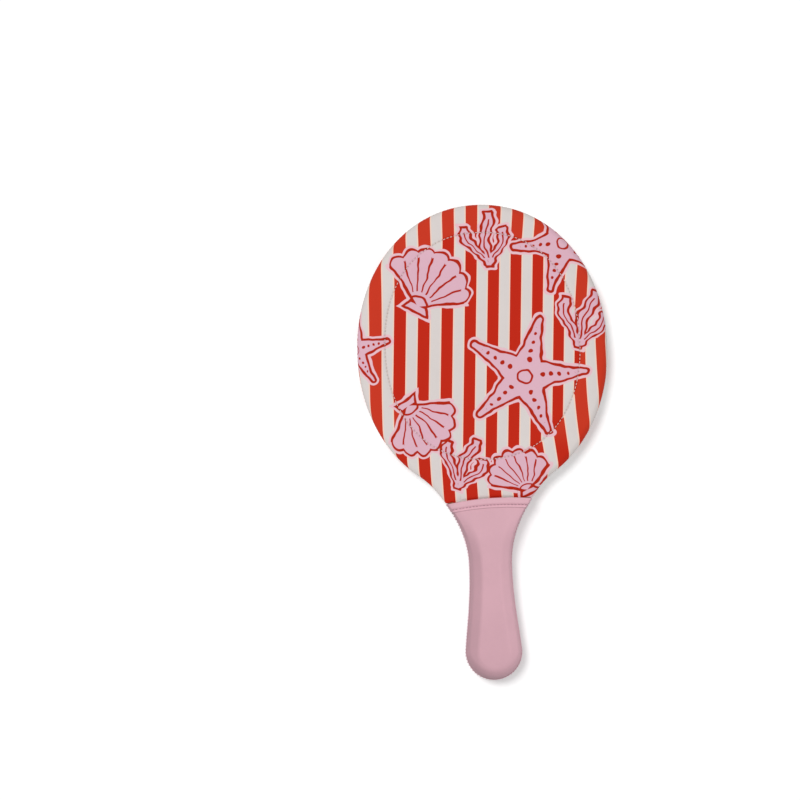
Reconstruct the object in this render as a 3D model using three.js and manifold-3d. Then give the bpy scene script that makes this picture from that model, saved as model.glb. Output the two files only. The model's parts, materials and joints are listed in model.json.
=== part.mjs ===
// Beach tennis racket: a plywood bat between foam pads, with sewn neoprene covers and grip.
// Millimetres, +Z up. It lies on its back with its tip towards +Y, and the origin is under
// the middle of its box. Every shape is drawn from the head's centre, in the middle plane,
// and "below" means towards the butt.

import * as THREE from 'three';
import { mergeVertices } from 'three/addons/utils/BufferGeometryUtils.js';
import loadManifold from 'manifold-3d';

const wasm = await loadManifold();
wasm.setup();

const { lerp, smoothstep, clamp } = THREE.MathUtils;

// Head oval
const headHalfWidth = 100.5;
const headHalfLength = 117;
const headPower = 2.06;

// Oval ring of quilting stitches on each face, with its centre nearer to the tip
const ringHalfWidth = 78;
const ringHalfLength = 90.8;
const ringPower = 2.18;
const ringRise = 3.3;

// Outline of the neck and grip, each length from the end of the one above it
const throatLength = 4.1;
const neckLength = 51.9;
const gripLength = 69.4;
const hemHalfWidth = 34.6;
const waistHalfWidth = 16.9;
const buttRadius = 22.5;
const throatFillet = 6;

// Layers, from the middle plane outwards
const boardThickness = 6;
const padThickness = 2.9;
const padEdgeThickness = 0.8;
const neopreneThickness = 2;
const gripThickness = 25;
const gap = 0.3;
const overrun = 5;

// Board
const boardEdgeRound = 1.5;
const boardInset = 2.6;

// Faces of the covers
const quiltDip = 1.2;
const quiltDipHalfWidth = 2.5;
const bandDrop = 0.3;
const shoulderLength = 3;
const tabLength = 10;
const tabLap = 8;
const tabInset = 6;
const tabPress = 0.1;

// Grip
const sideFlat = 1.5;
const rampLength = 31;
const hemArch = 2.4;
const hemFoldRise = 0.4;
const hemFoldDepth = 8.3;
const hemStitchBelowEdge = 5.4;
const hemStitchDip = 0.8;
const hemStitchDipHalfWidth = 1;
const scaleBevel = 1.2;
const scaleBevelLength = 4;

// Dowels
const dowelRadius = 4;
const upperDowelAboveWaist = 9;
const lowerDowelAboveButt = 14.4;

// Threads
const quiltThreadRadius = 0.4;
const seamThreadRadius = 0.45;
const seamThreadInset = 0.75;
const hemThreadRadius = 0.35;

// How finely the shapes are drawn
const ovalSteps = 22;
const filletSteps = 3;
const neckSteps = 3;
const bottomSteps = 6;
const rampSteps = 7;
const gripSteps = 7;
const buttSteps = 7;
const bandSteps = 2;
const shoulderSteps = 2;
const rimSteps = 3;
const sectionSteps = 5;
const boardEdgeSteps = 2;
const threadSides = 5;
const dowelSides = 20;
const joinHalvings = 16;

// Half thicknesses that follow from the layers
const boardHalf = boardThickness / 2;
const gripHalf = gripThickness / 2;
const throatHalf = boardHalf + gap + neopreneThickness;
const plateauHalf = boardHalf + gap + padThickness + gap + neopreneThickness;
const shoulderHalf = boardHalf + gap + padEdgeThickness + gap + neopreneThickness;
const crestHalf = plateauHalf - bandDrop;
const hemHalf = throatHalf + gap + neopreneThickness;
const seamHalf = seamThreadRadius + gap;
const rimRound = shoulderHalf - seamHalf;
const throatRound = throatHalf - seamHalf;
const liningInset = neopreneThickness + gap;

// Depths that follow from the lengths
const hemBelow = headHalfLength + throatLength;
const tabEndBelow = hemBelow + tabLength;
const liningEndBelow = tabEndBelow + rimRound;
const waistBelow = hemBelow + neckLength;
const upperDowelBelow = waistBelow - upperDowelAboveWaist;
const buttCentreBelow = waistBelow + gripLength;
const lowerDowelBelow = buttCentreBelow - lowerDowelAboveButt;
const buttBelow = buttCentreBelow + buttRadius;

// Ovals

// How far outside an oval round the origin a point lies, along the line from its centre
function outsideOval(x, y, halfWidth, halfLength, power) {
  const reach = Math.hypot(x, y);
  const wide = Math.abs(x / halfWidth) ** power;
  const long = Math.abs(y / halfLength) ** power;
  return reach - reach / (wide + long) ** (1 / power);
}

function ringReach(direction) {
  const length = ringHalfLength;
  const far = direction.clone().multiplyScalar(length);
  return length - outsideOval(far.x, far.y, ringHalfWidth, ringHalfLength, ringPower);
}

// Right-hand half of an oval from its tip down to a given depth, as points
function ovalEdge(halfWidth, halfLength, endBelow, steps) {
  const share = clamp(endBelow / halfLength, 0, 1);
  const lastTurn = -Math.asin(share ** (headPower / 2));
  return Array.from({ length: steps + 1 }, (_, step) => {
    const turn = lerp(Math.PI / 2, lastTurn, step / steps);
    const sine = Math.sin(turn);
    const across = (1 - sine ** 2) ** (1 / headPower);
    const along = Math.sign(sine) * Math.abs(sine) ** (2 / headPower);
    return new THREE.Vector2(halfWidth * across, halfLength * along);
  });
}

function headHalfWidthAt(below, inset) {
  const along = clamp(below / (headHalfLength - inset), 0, 1) ** headPower;
  return (headHalfWidth - inset) * (1 - along) ** (1 / headPower);
}

// Outline

// The neck widens upwards from the waist as a parabola, and the grip swells down to the butt
function handleHalfWidth(below, inset) {
  if (below > buttCentreBelow) {
    return Math.sqrt(Math.max((buttRadius - inset) ** 2 - (below - buttCentreBelow) ** 2, 0));
  }
  if (below < waistBelow) {
    const share = (waistBelow - below) / (waistBelow - hemBelow);
    return lerp(waistHalfWidth, hemHalfWidth, share ** 2) - inset;
  }
  const share = (below - waistBelow) / (buttCentreBelow - waistBelow);
  return lerp(waistHalfWidth, buttRadius, share ** 2 * (1 + share - share ** 2)) - inset;
}

// Where the neck's curve leaves the head's oval, found by halving
function neckJoin(inset) {
  let high = ringHalfLength;
  let low = headHalfLength - inset;
  for (let halving = 0; halving < joinHalvings; halving += 1) {
    const middle = (low + high) / 2;
    if (headHalfWidthAt(middle, inset) > handleHalfWidth(middle, inset)) high = middle;
    else low = middle;
  }
  return low;
}

// Right-hand edge of the head and neck, from the tip down, with a fillet in the throat
function headEdge(inset, endBelow) {
  const join = neckJoin(inset);
  const ovalEnd = join - throatFillet;
  const neckStart = join + throatFillet;
  const edge = ovalEdge(headHalfWidth - inset, headHalfLength - inset, ovalEnd, ovalSteps);
  const fillet = new THREE.QuadraticBezierCurve(
    edge.at(-1),
    new THREE.Vector2(handleHalfWidth(join, inset), -join),
    new THREE.Vector2(handleHalfWidth(neckStart, inset), -neckStart),
  );
  edge.push(...fillet.getPoints(filletSteps).slice(1));
  for (let step = 1; step <= neckSteps; step += 1) {
    const below = lerp(neckStart, endBelow, step / neckSteps);
    edge.push(new THREE.Vector2(handleHalfWidth(below, inset), -below));
  }
  return edge;
}

// Depths at which the handle is drawn, from a given depth down to just before the butt
function handleDepths(startBelow, inset) {
  const depths = [];
  for (let step = 0; step <= rampSteps; step += 1) {
    depths.push(lerp(startBelow, waistBelow, step / rampSteps));
  }
  for (let step = 1; step <= gripSteps; step += 1) {
    depths.push(lerp(waistBelow, buttCentreBelow, step / gripSteps));
  }
  for (let step = 1; step < buttSteps; step += 1) {
    const turn = (Math.PI / 2) * (step / buttSteps);
    depths.push(buttCentreBelow + (buttRadius - inset) * Math.sin(turn));
  }
  return depths;
}

function handleEdge(inset, startBelow) {
  const edge = handleDepths(startBelow, inset).map(
    (below) => new THREE.Vector2(handleHalfWidth(below, inset), -below),
  );
  return [...edge, new THREE.Vector2(0, inset - buttBelow)];
}

// Left edge down and right edge up again, anticlockwise seen from the front
function closedOutline(edge) {
  const onAxis = edge.at(-1).x === 0;
  const left = edge.map((point) => new THREE.Vector2(-point.x, point.y));
  const right = edge.slice(1, onAxis ? -1 : undefined).reverse();
  return [...left, ...right];
}

// The same, with points along the straight bottom so that the rings above it stay round
function headOutline(inset, endBelow) {
  const edge = headEdge(inset, endBelow);
  const corner = edge.at(-1);
  const half = Array.from({ length: bottomSteps / 2 }, (_, step) => {
    const share = 1 - (2 * (step + 1)) / bottomSteps;
    return new THREE.Vector2(corner.x * share, corner.y);
  });
  return closedOutline([...edge, ...half]);
}

// Skins

// Joins loops of points into one closed skin, with a fan from a point at each end. Seen from
// the first end, the loops run anticlockwise.
function skin(loops, firstPoint, lastPoint) {
  const count = loops[0].length;
  const points = [firstPoint, ...loops.flat(), lastPoint];
  const faces = [];
  const at = (loop, step) => 1 + loop * count + (step % count);
  for (let step = 0; step < count; step += 1) {
    faces.push(0, at(0, step), at(0, step + 1));
    for (let loop = 1; loop < loops.length; loop += 1) {
      const [a, b] = [at(loop - 1, step), at(loop - 1, step + 1)];
      const [c, d] = [at(loop, step + 1), at(loop, step)];
      faces.push(a, d, c, a, c, b);
    }
    faces.push(points.length - 1, at(loops.length - 1, step + 1), at(loops.length - 1, step));
  }
  const geometry = new THREE.BufferGeometry().setFromPoints(points);
  geometry.setIndex(faces);
  geometry.computeVertexNormals();
  return geometry;
}

// A round thread along a path, open or closed on itself
function thread(path, radius, up, closed) {
  const count = path.length;
  const rings = path.map((point, step) => {
    const before = path[closed ? (step + count - 1) % count : Math.max(step - 1, 0)];
    const after = path[closed ? (step + 1) % count : Math.min(step + 1, count - 1)];
    const along = after.clone().sub(before).normalize();
    const side = along.clone().cross(up).normalize();
    const over = side.clone().cross(along);
    return Array.from({ length: threadSides }, (_, corner) => {
      const turn = (2 * Math.PI * corner) / threadSides;
      const out = side.clone().multiplyScalar(Math.cos(turn));
      out.addScaledVector(over, Math.sin(turn));
      return point.clone().addScaledVector(out, radius);
    });
  });
  if (!closed) return skin(rings, path[0], path.at(-1));
  const faces = [];
  const at = (ring, corner) => (ring % count) * threadSides + (corner % threadSides);
  for (let ring = 0; ring < count; ring += 1) {
    for (let corner = 0; corner < threadSides; corner += 1) {
      const [a, b] = [at(ring, corner), at(ring, corner + 1)];
      const [c, d] = [at(ring + 1, corner + 1), at(ring + 1, corner)];
      faces.push(a, d, c, a, c, b);
    }
  }
  const geometry = new THREE.BufferGeometry().setFromPoints(rings.flat());
  geometry.setIndex(faces);
  geometry.computeVertexNormals();
  return geometry;
}

// Solids

function toSolid(geometry) {
  const bare = geometry.clone();
  bare.deleteAttribute('normal');
  bare.deleteAttribute('uv');
  const merged = mergeVertices(bare);
  const mesh = new wasm.Mesh({
    numProp: 3,
    vertProperties: merged.getAttribute('position').array,
    triVerts: new Uint32Array(merged.getIndex().array),
  });
  return new wasm.Manifold(mesh);
}

function toGeometry(solid) {
  const mesh = solid.getMesh();
  const geometry = new THREE.BufferGeometry();
  geometry.setAttribute('position', new THREE.BufferAttribute(mesh.vertProperties, 3));
  geometry.setIndex(new THREE.BufferAttribute(mesh.triVerts, 1));
  geometry.computeVertexNormals();
  return geometry;
}

function block(outline, low, high) {
  const shape = new THREE.Shape(outline);
  const slab = new THREE.ExtrudeGeometry(shape, { depth: high - low, bevelEnabled: false });
  return toSolid(slab.translate(0, 0, low));
}

function dowelRod(radius, halfLength, below) {
  const rod = new THREE.CylinderGeometry(radius, radius, 2 * halfLength, dowelSides);
  return rod.rotateX(Math.PI / 2).translate(0, -below, 0);
}

function withoutDowelHoles(solid) {
  const reach = gripHalf + overrun;
  return [upperDowelBelow, lowerDowelBelow].reduce(
    (left, below) => left.subtract(toSolid(dowelRod(dowelRadius + gap, reach, below))),
    solid,
  );
}

// Head faces

// Height of a cover's outer face over the middle plane: a flat field inside the ring, a dip
// at the stitches, and a band that falls away to the rim, or to the bare board at the throat
function faceHeight(x, y) {
  const fromRing = outsideOval(x, y - ringRise, ringHalfWidth, ringHalfLength, ringPower);
  const fromRim = -outsideOval(x, y, headHalfWidth, headHalfLength, headPower);
  if (fromRing <= quiltDipHalfWidth) {
    const level = fromRing > 0 ? crestHalf : plateauHalf;
    return level - quiltDip * Math.max(1 - Math.abs(fromRing) / quiltDipHalfWidth, 0);
  }
  if (fromRim < rimRound) {
    const throatRun = hemBelow - headHalfLength + rimRound;
    return lerp(shoulderHalf, throatHalf, smoothstep(rimRound - fromRim, 0, throatRun));
  }
  const out = fromRing - quiltDipHalfWidth;
  const share = out / (out + fromRim - rimRound);
  return lerp(crestHalf, shoulderHalf, share ** 2);
}

// Rays from the ring's centre to the points of an outline, with where each loop lies on them
function faceColumns(outline, sink, rounded) {
  return outline.map((point) => {
    const out = point.clone().sub(new THREE.Vector2(0, ringRise));
    const reach = out.length();
    const direction = out.normalize();
    const probe = direction.clone().multiplyScalar(reach + sink - throatRound);
    const round = rounded ? faceHeight(probe.x, probe.y + ringRise) - seamHalf - sink : 0;
    const outside = outsideOval(point.x, point.y, headHalfWidth, headHalfLength, headPower);
    const shoulder = reach - outside - rimRound - shoulderLength;
    return { direction, ring: ringReach(direction), shoulder, end: reach - round };
  });
}

// Loops of one face from inside the ring out to the last round, sunk below the outer face
function faceLoops(outline, sink, rounded) {
  const columns = faceColumns(outline, sink, rounded);
  const loopAt = (distanceOf) => columns.map((column) => {
    const distance = distanceOf(column);
    const x = column.direction.x * distance;
    const y = column.direction.y * distance + ringRise;
    return new THREE.Vector3(x, y, faceHeight(x, y) - sink);
  });
  const dips = [-quiltDipHalfWidth, 0, quiltDipHalfWidth];
  const loops = dips.map((offset) => loopAt(({ ring }) => ring + offset));
  for (let step = 1; step <= bandSteps; step += 1) {
    const share = step / bandSteps;
    loops.push(loopAt(({ ring, shoulder }) => lerp(ring + quiltDipHalfWidth, shoulder, share)));
  }
  for (let step = 1; step <= shoulderSteps; step += 1) {
    loops.push(loopAt(({ shoulder, end }) => lerp(shoulder, end, step / shoulderSteps)));
  }
  return loops;
}

// Rounds the last loop of a face over the rim, down to a level
function rimLoops(last, outline, level) {
  return Array.from({ length: rimSteps }, (_, step) => {
    const turn = ((step + 1) / rimSteps) * (Math.PI / 2);
    return outline.map((point, index) => {
      const start = last[index];
      const x = lerp(start.x, point.x, Math.sin(turn));
      const y = lerp(start.y, point.y, Math.sin(turn));
      return new THREE.Vector3(x, y, lerp(level, start.z, Math.cos(turn)));
    });
  });
}

// A domed solid under one face of the covers, down to a floor
function headDome(sink, endBelow, floor) {
  const outline = headOutline(sink, endBelow);
  const face = faceLoops(outline, sink, true);
  const loops = [...face, ...rimLoops(face.at(-1), outline, seamHalf)];
  if (floor < seamHalf) loops.push(outline.map(({ x, y }) => new THREE.Vector3(x, y, floor)));
  const top = new THREE.Vector3(0, ringRise, plateauHalf - sink);
  return skin(loops, top, new THREE.Vector3(0, ringRise, floor));
}

// Everything below the hem's arched edge, as an outline
function belowHemOutline(shift) {
  const reach = headHalfWidth;
  const arch = Array.from({ length: 2 * rampSteps + 1 }, (_, step) => {
    const x = lerp(hemHalfWidth, -hemHalfWidth, step / (2 * rampSteps));
    return new THREE.Vector2(x, hemArch * (1 - (x / hemHalfWidth) ** 2) - hemBelow + shift);
  });
  const side = shift - hemBelow;
  const corners = [
    new THREE.Vector2(-reach, side),
    new THREE.Vector2(-reach, -buttBelow),
    new THREE.Vector2(reach, -buttBelow),
    new THREE.Vector2(reach, side),
  ];
  return [...arch, ...corners];
}

// The tab of a cover that is tucked under the grip's sleeve
function tabOutline() {
  const top = hemBelow - tabLap;
  const edge = Array.from({ length: neckSteps + 1 }, (_, step) => {
    const below = lerp(top, tabEndBelow, step / neckSteps);
    return new THREE.Vector2(handleHalfWidth(below, tabInset), -below);
  });
  const left = edge.map((point) => new THREE.Vector2(-point.x, point.y));
  return [...left, ...edge.reverse()];
}

function cover() {
  const outside = toSolid(headDome(0, tabEndBelow, seamHalf));
  const inside = toSolid(headDome(neopreneThickness, liningEndBelow, -overrun));
  const shaped = outside.subtract(block(belowHemOutline(gap), -overrun, gripHalf + overrun));
  const tab = block(tabOutline(), seamHalf, throatHalf - tabPress);
  return toGeometry(shaped.add(tab).subtract(inside));
}

// Foam pad, skived thin towards the rim, on the same rays as the cover's lining
function pad() {
  const floor = boardHalf + gap;
  const outline = headOutline(neopreneThickness, liningEndBelow).map((point) => {
    const outside = outsideOval(point.x, point.y, headHalfWidth, headHalfLength, headPower);
    const out = point.clone().sub(new THREE.Vector2(0, ringRise));
    const drawnIn = out.setLength(out.length() - outside - rimRound);
    return drawnIn.add(new THREE.Vector2(0, ringRise));
  });
  const face = faceLoops(outline, liningInset, false);
  const bottom = outline.map(({ x, y }) => new THREE.Vector3(x, y, floor));
  const top = new THREE.Vector3(0, ringRise, plateauHalf - liningInset);
  return skin([...face, bottom], top, new THREE.Vector3(0, ringRise, floor));
}

function quiltThread() {
  const height = plateauHalf - quiltDip + gap + quiltThreadRadius;
  const count = 2 * (ovalSteps + neckSteps);
  const path = Array.from({ length: count }, (_, step) => {
    const turn = (2 * Math.PI * step) / count;
    const direction = new THREE.Vector2(Math.cos(turn), Math.sin(turn));
    const place = direction.multiplyScalar(ringReach(direction));
    return new THREE.Vector3(place.x, place.y + ringRise, height);
  });
  return thread(path, quiltThreadRadius, new THREE.Vector3(0, 0, 1), true);
}

// Plywood bat: blade and tang in one board with a rounded edge
function board() {
  const join = hemBelow - hemArch;
  const edge = [...headEdge(boardInset, join), ...handleEdge(boardInset, join).slice(1)];
  const slab = new THREE.ExtrudeGeometry(new THREE.Shape(closedOutline(edge)), {
    depth: boardThickness - 2 * boardEdgeRound,
    bevelThickness: boardEdgeRound,
    bevelSize: boardEdgeRound,
    bevelOffset: -boardEdgeRound,
    bevelSegments: boardEdgeSteps,
  });
  slab.translate(0, 0, boardEdgeRound - boardHalf);
  return toGeometry(withoutDowelHoles(toSolid(slab)));
}

// Grip

// Half thickness of the grip's outer face: a ramp up from the hem, and a rounded butt
function gripHalfThickness(below, inset) {
  const ramp = smoothstep(below, hemBelow, hemBelow + rampLength);
  const half = lerp(hemHalf, gripHalf, ramp) - inset;
  const round = half - sideFlat;
  const fromEnd = buttBelow - inset - below;
  if (fromEnd >= round) return half;
  return sideFlat + Math.sqrt(round ** 2 - (round - fromEnd) ** 2);
}

// Upper half of a cross-section, flat on top with round sides, from a floor on the far left
// over the top to the floor on the right. Near the hem it is arched upwards in the middle.
function gripSection(below, inset, floor, rise = 0) {
  const halfWidth = handleHalfWidth(below, inset);
  const halfThickness = gripHalfThickness(below, inset) + rise;
  const height = halfThickness - sideFlat;
  const round = Math.min(height, halfWidth);
  const firstTurn = Math.asin(clamp((floor - sideFlat) / height, 0, 1));
  const arch = hemArch * (1 - smoothstep(below, hemBelow, hemBelow + rampLength));
  const place = (x, z) => {
    const lift = arch * Math.max(1 - (x / halfWidth) ** 2, 0);
    return new THREE.Vector3(x, lift - below, z);
  };
  const side = Array.from({ length: sectionSteps + 1 }, (_, step) => {
    const turn = lerp(firstTurn, Math.PI / 2, step / sectionSteps);
    const x = halfWidth - round + round * Math.cos(turn);
    return [x, sideFlat + height * Math.sin(turn)];
  });
  if (floor < sideFlat) side.unshift([halfWidth, floor]);
  const left = side.map(([x, z]) => place(-x, z));
  const right = side.map(([x, z]) => place(x, z)).reverse();
  return [...left, ...right];
}

function middleOf(section, height) {
  const points = section.length;
  const top = section[points / 2];
  return new THREE.Vector3(0, top.y, height);
}

function gripBody(depths, inset, floor, riseAt, endPoint) {
  const sections = depths.map((below) => gripSection(below, inset, floor, riseAt(below)));
  const height = (floor + hemHalf - inset) / 2;
  return skin(sections, middleOf(sections[0], height), endPoint ?? middleOf(sections.at(-1), floor));
}

// The folded hem stands a little proud and is drawn in along its row of stitches
function hemRise(below) {
  const fromEdge = below - hemBelow;
  if (fromEdge >= hemFoldDepth) return 0;
  const fromStitch = Math.abs(fromEdge - hemStitchBelowEdge);
  return hemFoldRise - hemStitchDip * Math.max(1 - fromStitch / hemStitchDipHalfWidth, 0);
}

function sleeve() {
  const stitchBelow = hemBelow + hemStitchBelowEdge;
  const hemDepths = [
    hemBelow,
    stitchBelow - hemStitchDipHalfWidth,
    stitchBelow,
    stitchBelow + hemStitchDipHalfWidth,
  ];
  const outerDepths = [...hemDepths, ...handleDepths(hemBelow + hemFoldDepth, 0)];
  const butt = new THREE.Vector3(0, -buttBelow, seamHalf);
  const outside = gripBody(outerDepths, 0, seamHalf, hemRise, butt);
  const innerDepths = [
    hemBelow - overrun,
    ...hemDepths,
    ...handleDepths(hemBelow + hemFoldDepth, neopreneThickness),
  ];
  const innerButt = new THREE.Vector3(0, neopreneThickness - buttBelow, 0);
  const inside = gripBody(innerDepths, neopreneThickness, -overrun, () => 0, innerButt);
  return toGeometry(toSolid(outside).subtract(toSolid(inside)));
}

// Wooden scale glued and dowelled to one side of the tang, bevelled at the throat
function scale() {
  const start = tabEndBelow + hemArch + gap;
  const depths = [start, ...handleDepths(start + scaleBevelLength, liningInset)];
  const bevelAt = (below) => (below === start ? -scaleBevel : 0);
  const body = gripBody(depths, liningInset, boardHalf + gap, bevelAt);
  return toGeometry(withoutDowelHoles(toSolid(body)));
}

function dowel(below) {
  return dowelRod(dowelRadius, gripHalf - liningInset, below);
}

// Threads

// Sews the two covers together round the rim, from one side of the throat to the other
function rimSeamThread() {
  const end = hemBelow - gap - seamThreadRadius;
  const edge = headEdge(seamThreadInset, end);
  const left = edge.map(({ x, y }) => new THREE.Vector3(-x, y, 0));
  const right = edge.slice(1).map(({ x, y }) => new THREE.Vector3(x, y, 0));
  return thread([...left.reverse(), ...right], seamThreadRadius, new THREE.Vector3(0, 0, 1), false);
}

// Sews the two halves of the sleeve together round the butt, from hem to hem
function gripSeamThread() {
  const edge = handleEdge(seamThreadInset, hemBelow + gap + seamThreadRadius);
  const left = edge.map(({ x, y }) => new THREE.Vector3(-x, y, 0));
  const right = edge.slice(0, -1).map(({ x, y }) => new THREE.Vector3(x, y, 0));
  return thread([...left, ...right.reverse()], seamThreadRadius, new THREE.Vector3(0, 0, 1), false);
}

function hemThread() {
  const below = hemBelow + hemStitchBelowEdge;
  const outwards = -gap - hemThreadRadius;
  const path = gripSection(below, outwards, seamHalf, hemRise(below));
  return thread(path, hemThreadRadius, new THREE.Vector3(0, 1, 0), false);
}

// Materials

function finish(color, roughness) {
  return new THREE.MeshStandardMaterial({ color, roughness, metalness: 0 });
}

const stripedNeoprene = finish(0xc6452e, 0.85);
const pinkNeoprene = finish(0xd4a8b2, 0.85);
const foam = finish(0xe9e6df, 0.95);
const plywood = finish(0xd9b683, 0.7);
const beech = finish(0xd6ab78, 0.65);
const paleThread = finish(0xe8d8cc, 0.8);
const pinkThread = finish(0xcf9aa8, 0.8);

// Assembly

const racket = new THREE.Group();
racket.position.set(0, (buttBelow - headHalfLength) / 2, gripHalf);

function addPiece(name, geometry, material) {
  const mesh = new THREE.Mesh(geometry, material);
  mesh.name = name;
  racket.add(mesh);
  return mesh;
}

// A piece for the front face, and the same piece turned over for the back
function addPair(name, geometry, material) {
  addPiece(`front_${name}`, geometry, material);
  addPiece(`back_${name}`, geometry, material).rotation.y = Math.PI;
}

addPiece('core_board', board(), plywood);
addPair('pad', pad(), foam);
addPair('cover', cover(), stripedNeoprene);
addPair('ring_thread', quiltThread(), paleThread);
addPiece('rim_seam_thread', rimSeamThread(), paleThread);
addPair('scale', scale(), beech);
addPiece('upper_dowel', dowel(upperDowelBelow), beech);
addPiece('lower_dowel', dowel(lowerDowelBelow), beech);
addPair('grip_sleeve', sleeve(), pinkNeoprene);
addPair('hem_thread', hemThread(), pinkThread);
addPiece('grip_seam_thread', gripSeamThread(), pinkThread);

export default racket;
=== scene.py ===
"""Dresses the beach tennis racket: printed covers, foam pads, grip sleeve, threads and wood.

Every shape is drawn from the head's centre in the middle plane, in metres, with its tip
towards +Y and its own face towards +Z, and is put in its place in the frame at the end.
"""

import json
import math
from bisect import bisect_left
from functools import reduce

import bmesh
import bpy
from bpy.props import FloatProperty, FloatVectorProperty, IntProperty, PointerProperty
from bpy.types import Operator, Panel, PropertyGroup
from mathutils import Matrix, Vector, noise
from mathutils.geometry import intersect_point_line
from mathutils.kdtree import KDTree

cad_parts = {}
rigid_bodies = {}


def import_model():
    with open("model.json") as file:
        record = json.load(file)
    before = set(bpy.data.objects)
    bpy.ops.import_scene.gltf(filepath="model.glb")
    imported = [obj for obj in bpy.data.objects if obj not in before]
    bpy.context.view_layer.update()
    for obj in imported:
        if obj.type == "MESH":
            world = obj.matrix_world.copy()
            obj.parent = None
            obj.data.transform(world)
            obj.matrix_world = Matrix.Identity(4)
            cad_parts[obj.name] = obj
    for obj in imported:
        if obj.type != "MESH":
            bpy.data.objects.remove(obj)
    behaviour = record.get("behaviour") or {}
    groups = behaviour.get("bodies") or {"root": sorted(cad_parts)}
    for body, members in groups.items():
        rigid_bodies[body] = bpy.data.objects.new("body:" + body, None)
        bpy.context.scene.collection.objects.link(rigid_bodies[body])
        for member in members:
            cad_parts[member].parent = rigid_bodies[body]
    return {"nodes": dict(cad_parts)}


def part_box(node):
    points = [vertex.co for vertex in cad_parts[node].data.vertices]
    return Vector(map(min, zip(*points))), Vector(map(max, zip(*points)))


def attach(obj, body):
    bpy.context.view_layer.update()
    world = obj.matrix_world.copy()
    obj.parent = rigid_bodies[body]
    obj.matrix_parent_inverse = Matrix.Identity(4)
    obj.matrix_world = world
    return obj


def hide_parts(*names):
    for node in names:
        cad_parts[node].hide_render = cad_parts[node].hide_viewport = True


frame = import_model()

bl_info = {
    "name": "Beach tennis racket",
    "version": (1, 0, 0),
    "blender": (4, 5, 0),
    "location": "3D View > Sidebar > Racket",
    "description": "Sewn neoprene covers, grip sleeve, threads and wood for a beach tennis racket",
    "category": "Object",
}

BODY = "root"
MM = 0.001
QUARTER = math.pi / 2


# Sizes and colours that a user would change


def length(name, description, millimetres):
    return FloatProperty(
        name=name,
        description=description,
        default=millimetres * MM,
        min=0,
        precision=5,
        unit="LENGTH",
    )


def count(name, description, default):
    return IntProperty(name=name, description=description, default=default, min=1)


def fraction(name, description, default):
    return FloatProperty(name=name, description=description, default=default, min=0, precision=3)


def colour(name, description, red, green, blue):
    """A colour property from the usual 0 to 255 display values."""
    return FloatVectorProperty(
        name=name,
        description=description,
        default=[linear(part) for part in (red, green, blue)],
        min=0,
        max=1,
        subtype="COLOR",
    )


def linear(part):
    share = part / 255
    return share / 12.92 if share <= 0.04045 else ((share + 0.055) / 1.055) ** 2.4


class RacketOutline(PropertyGroup):
    """The outline of the racket, seen from its face"""

    head_half_width: length("Head half width", "Middle of the head to its side", 100.5)
    head_half_length: length("Head half length", "Middle of the head to its tip", 117)
    head_power: FloatProperty(
        name="Head fullness", description="2 is an ellipse, more is fuller", default=2.06, min=1
    )
    ring_half_width: length("Ring half width", "Half the width of the stitched oval", 78)
    ring_half_length: length("Ring half length", "Half the length of the stitched oval", 90.8)
    ring_power: FloatProperty(
        name="Ring fullness", description="2 is an ellipse, more is fuller", default=2.18, min=1
    )
    ring_rise: length("Ring rise", "Stitched oval's centre above the head's centre", 3.3)
    throat_length: length("Throat length", "End of the head's oval to the hem", 4.1)
    neck_length: length("Neck length", "Hem to the waist", 51.9)
    grip_length: length("Grip length", "Waist to the centre of the butt", 69.4)
    hem_half_width: length("Hem half width", "Half the grip's width at its hem", 34.6)
    waist_half_width: length("Waist half width", "Half the grip's least width", 16.9)
    butt_radius: length("Butt radius", "Radius of the grip's round end", 22.5)
    throat_fillet: length("Throat fillet", "Reach of the curve from head to neck", 6)


class RacketLayers(PropertyGroup):
    """Thicknesses from the middle plane outwards"""

    board: length("Board", "Thickness of the plywood bat", 6)
    pad: length("Pad", "Thickness of the foam inside the stitched oval", 2.9)
    pad_edge: length("Pad edge", "Thickness of the foam at the rim", 0.8)
    neoprene: length("Neoprene", "Thickness of the covers and of the sleeve", 2)
    gap: length("Gap", "Clearance between neighbouring pieces", 0.3)
    grip: length("Grip", "Thickness of the whole grip", 25)
    side_flat: length("Side flat", "Flat height of a sleeve half next to its seam", 1.5)
    bevel_reach: fraction("Bevel reach", "Share of the grip's flank that is bevelled", 0.86)
    bevel_slope: fraction("Bevel slope", "Fall of the bevel, as a share of its run", 0.72)
    side_round: fraction("Side round", "Share of the flank that is rounded into the side", 0.25)
    ramp: length("Ramp", "Length over which the grip thickens", 31)
    tab: length("Tab", "Length of a cover under the sleeve", 10)
    tab_inset: length("Tab inset", "Cover's edge drawn in under the sleeve", 6)


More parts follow.
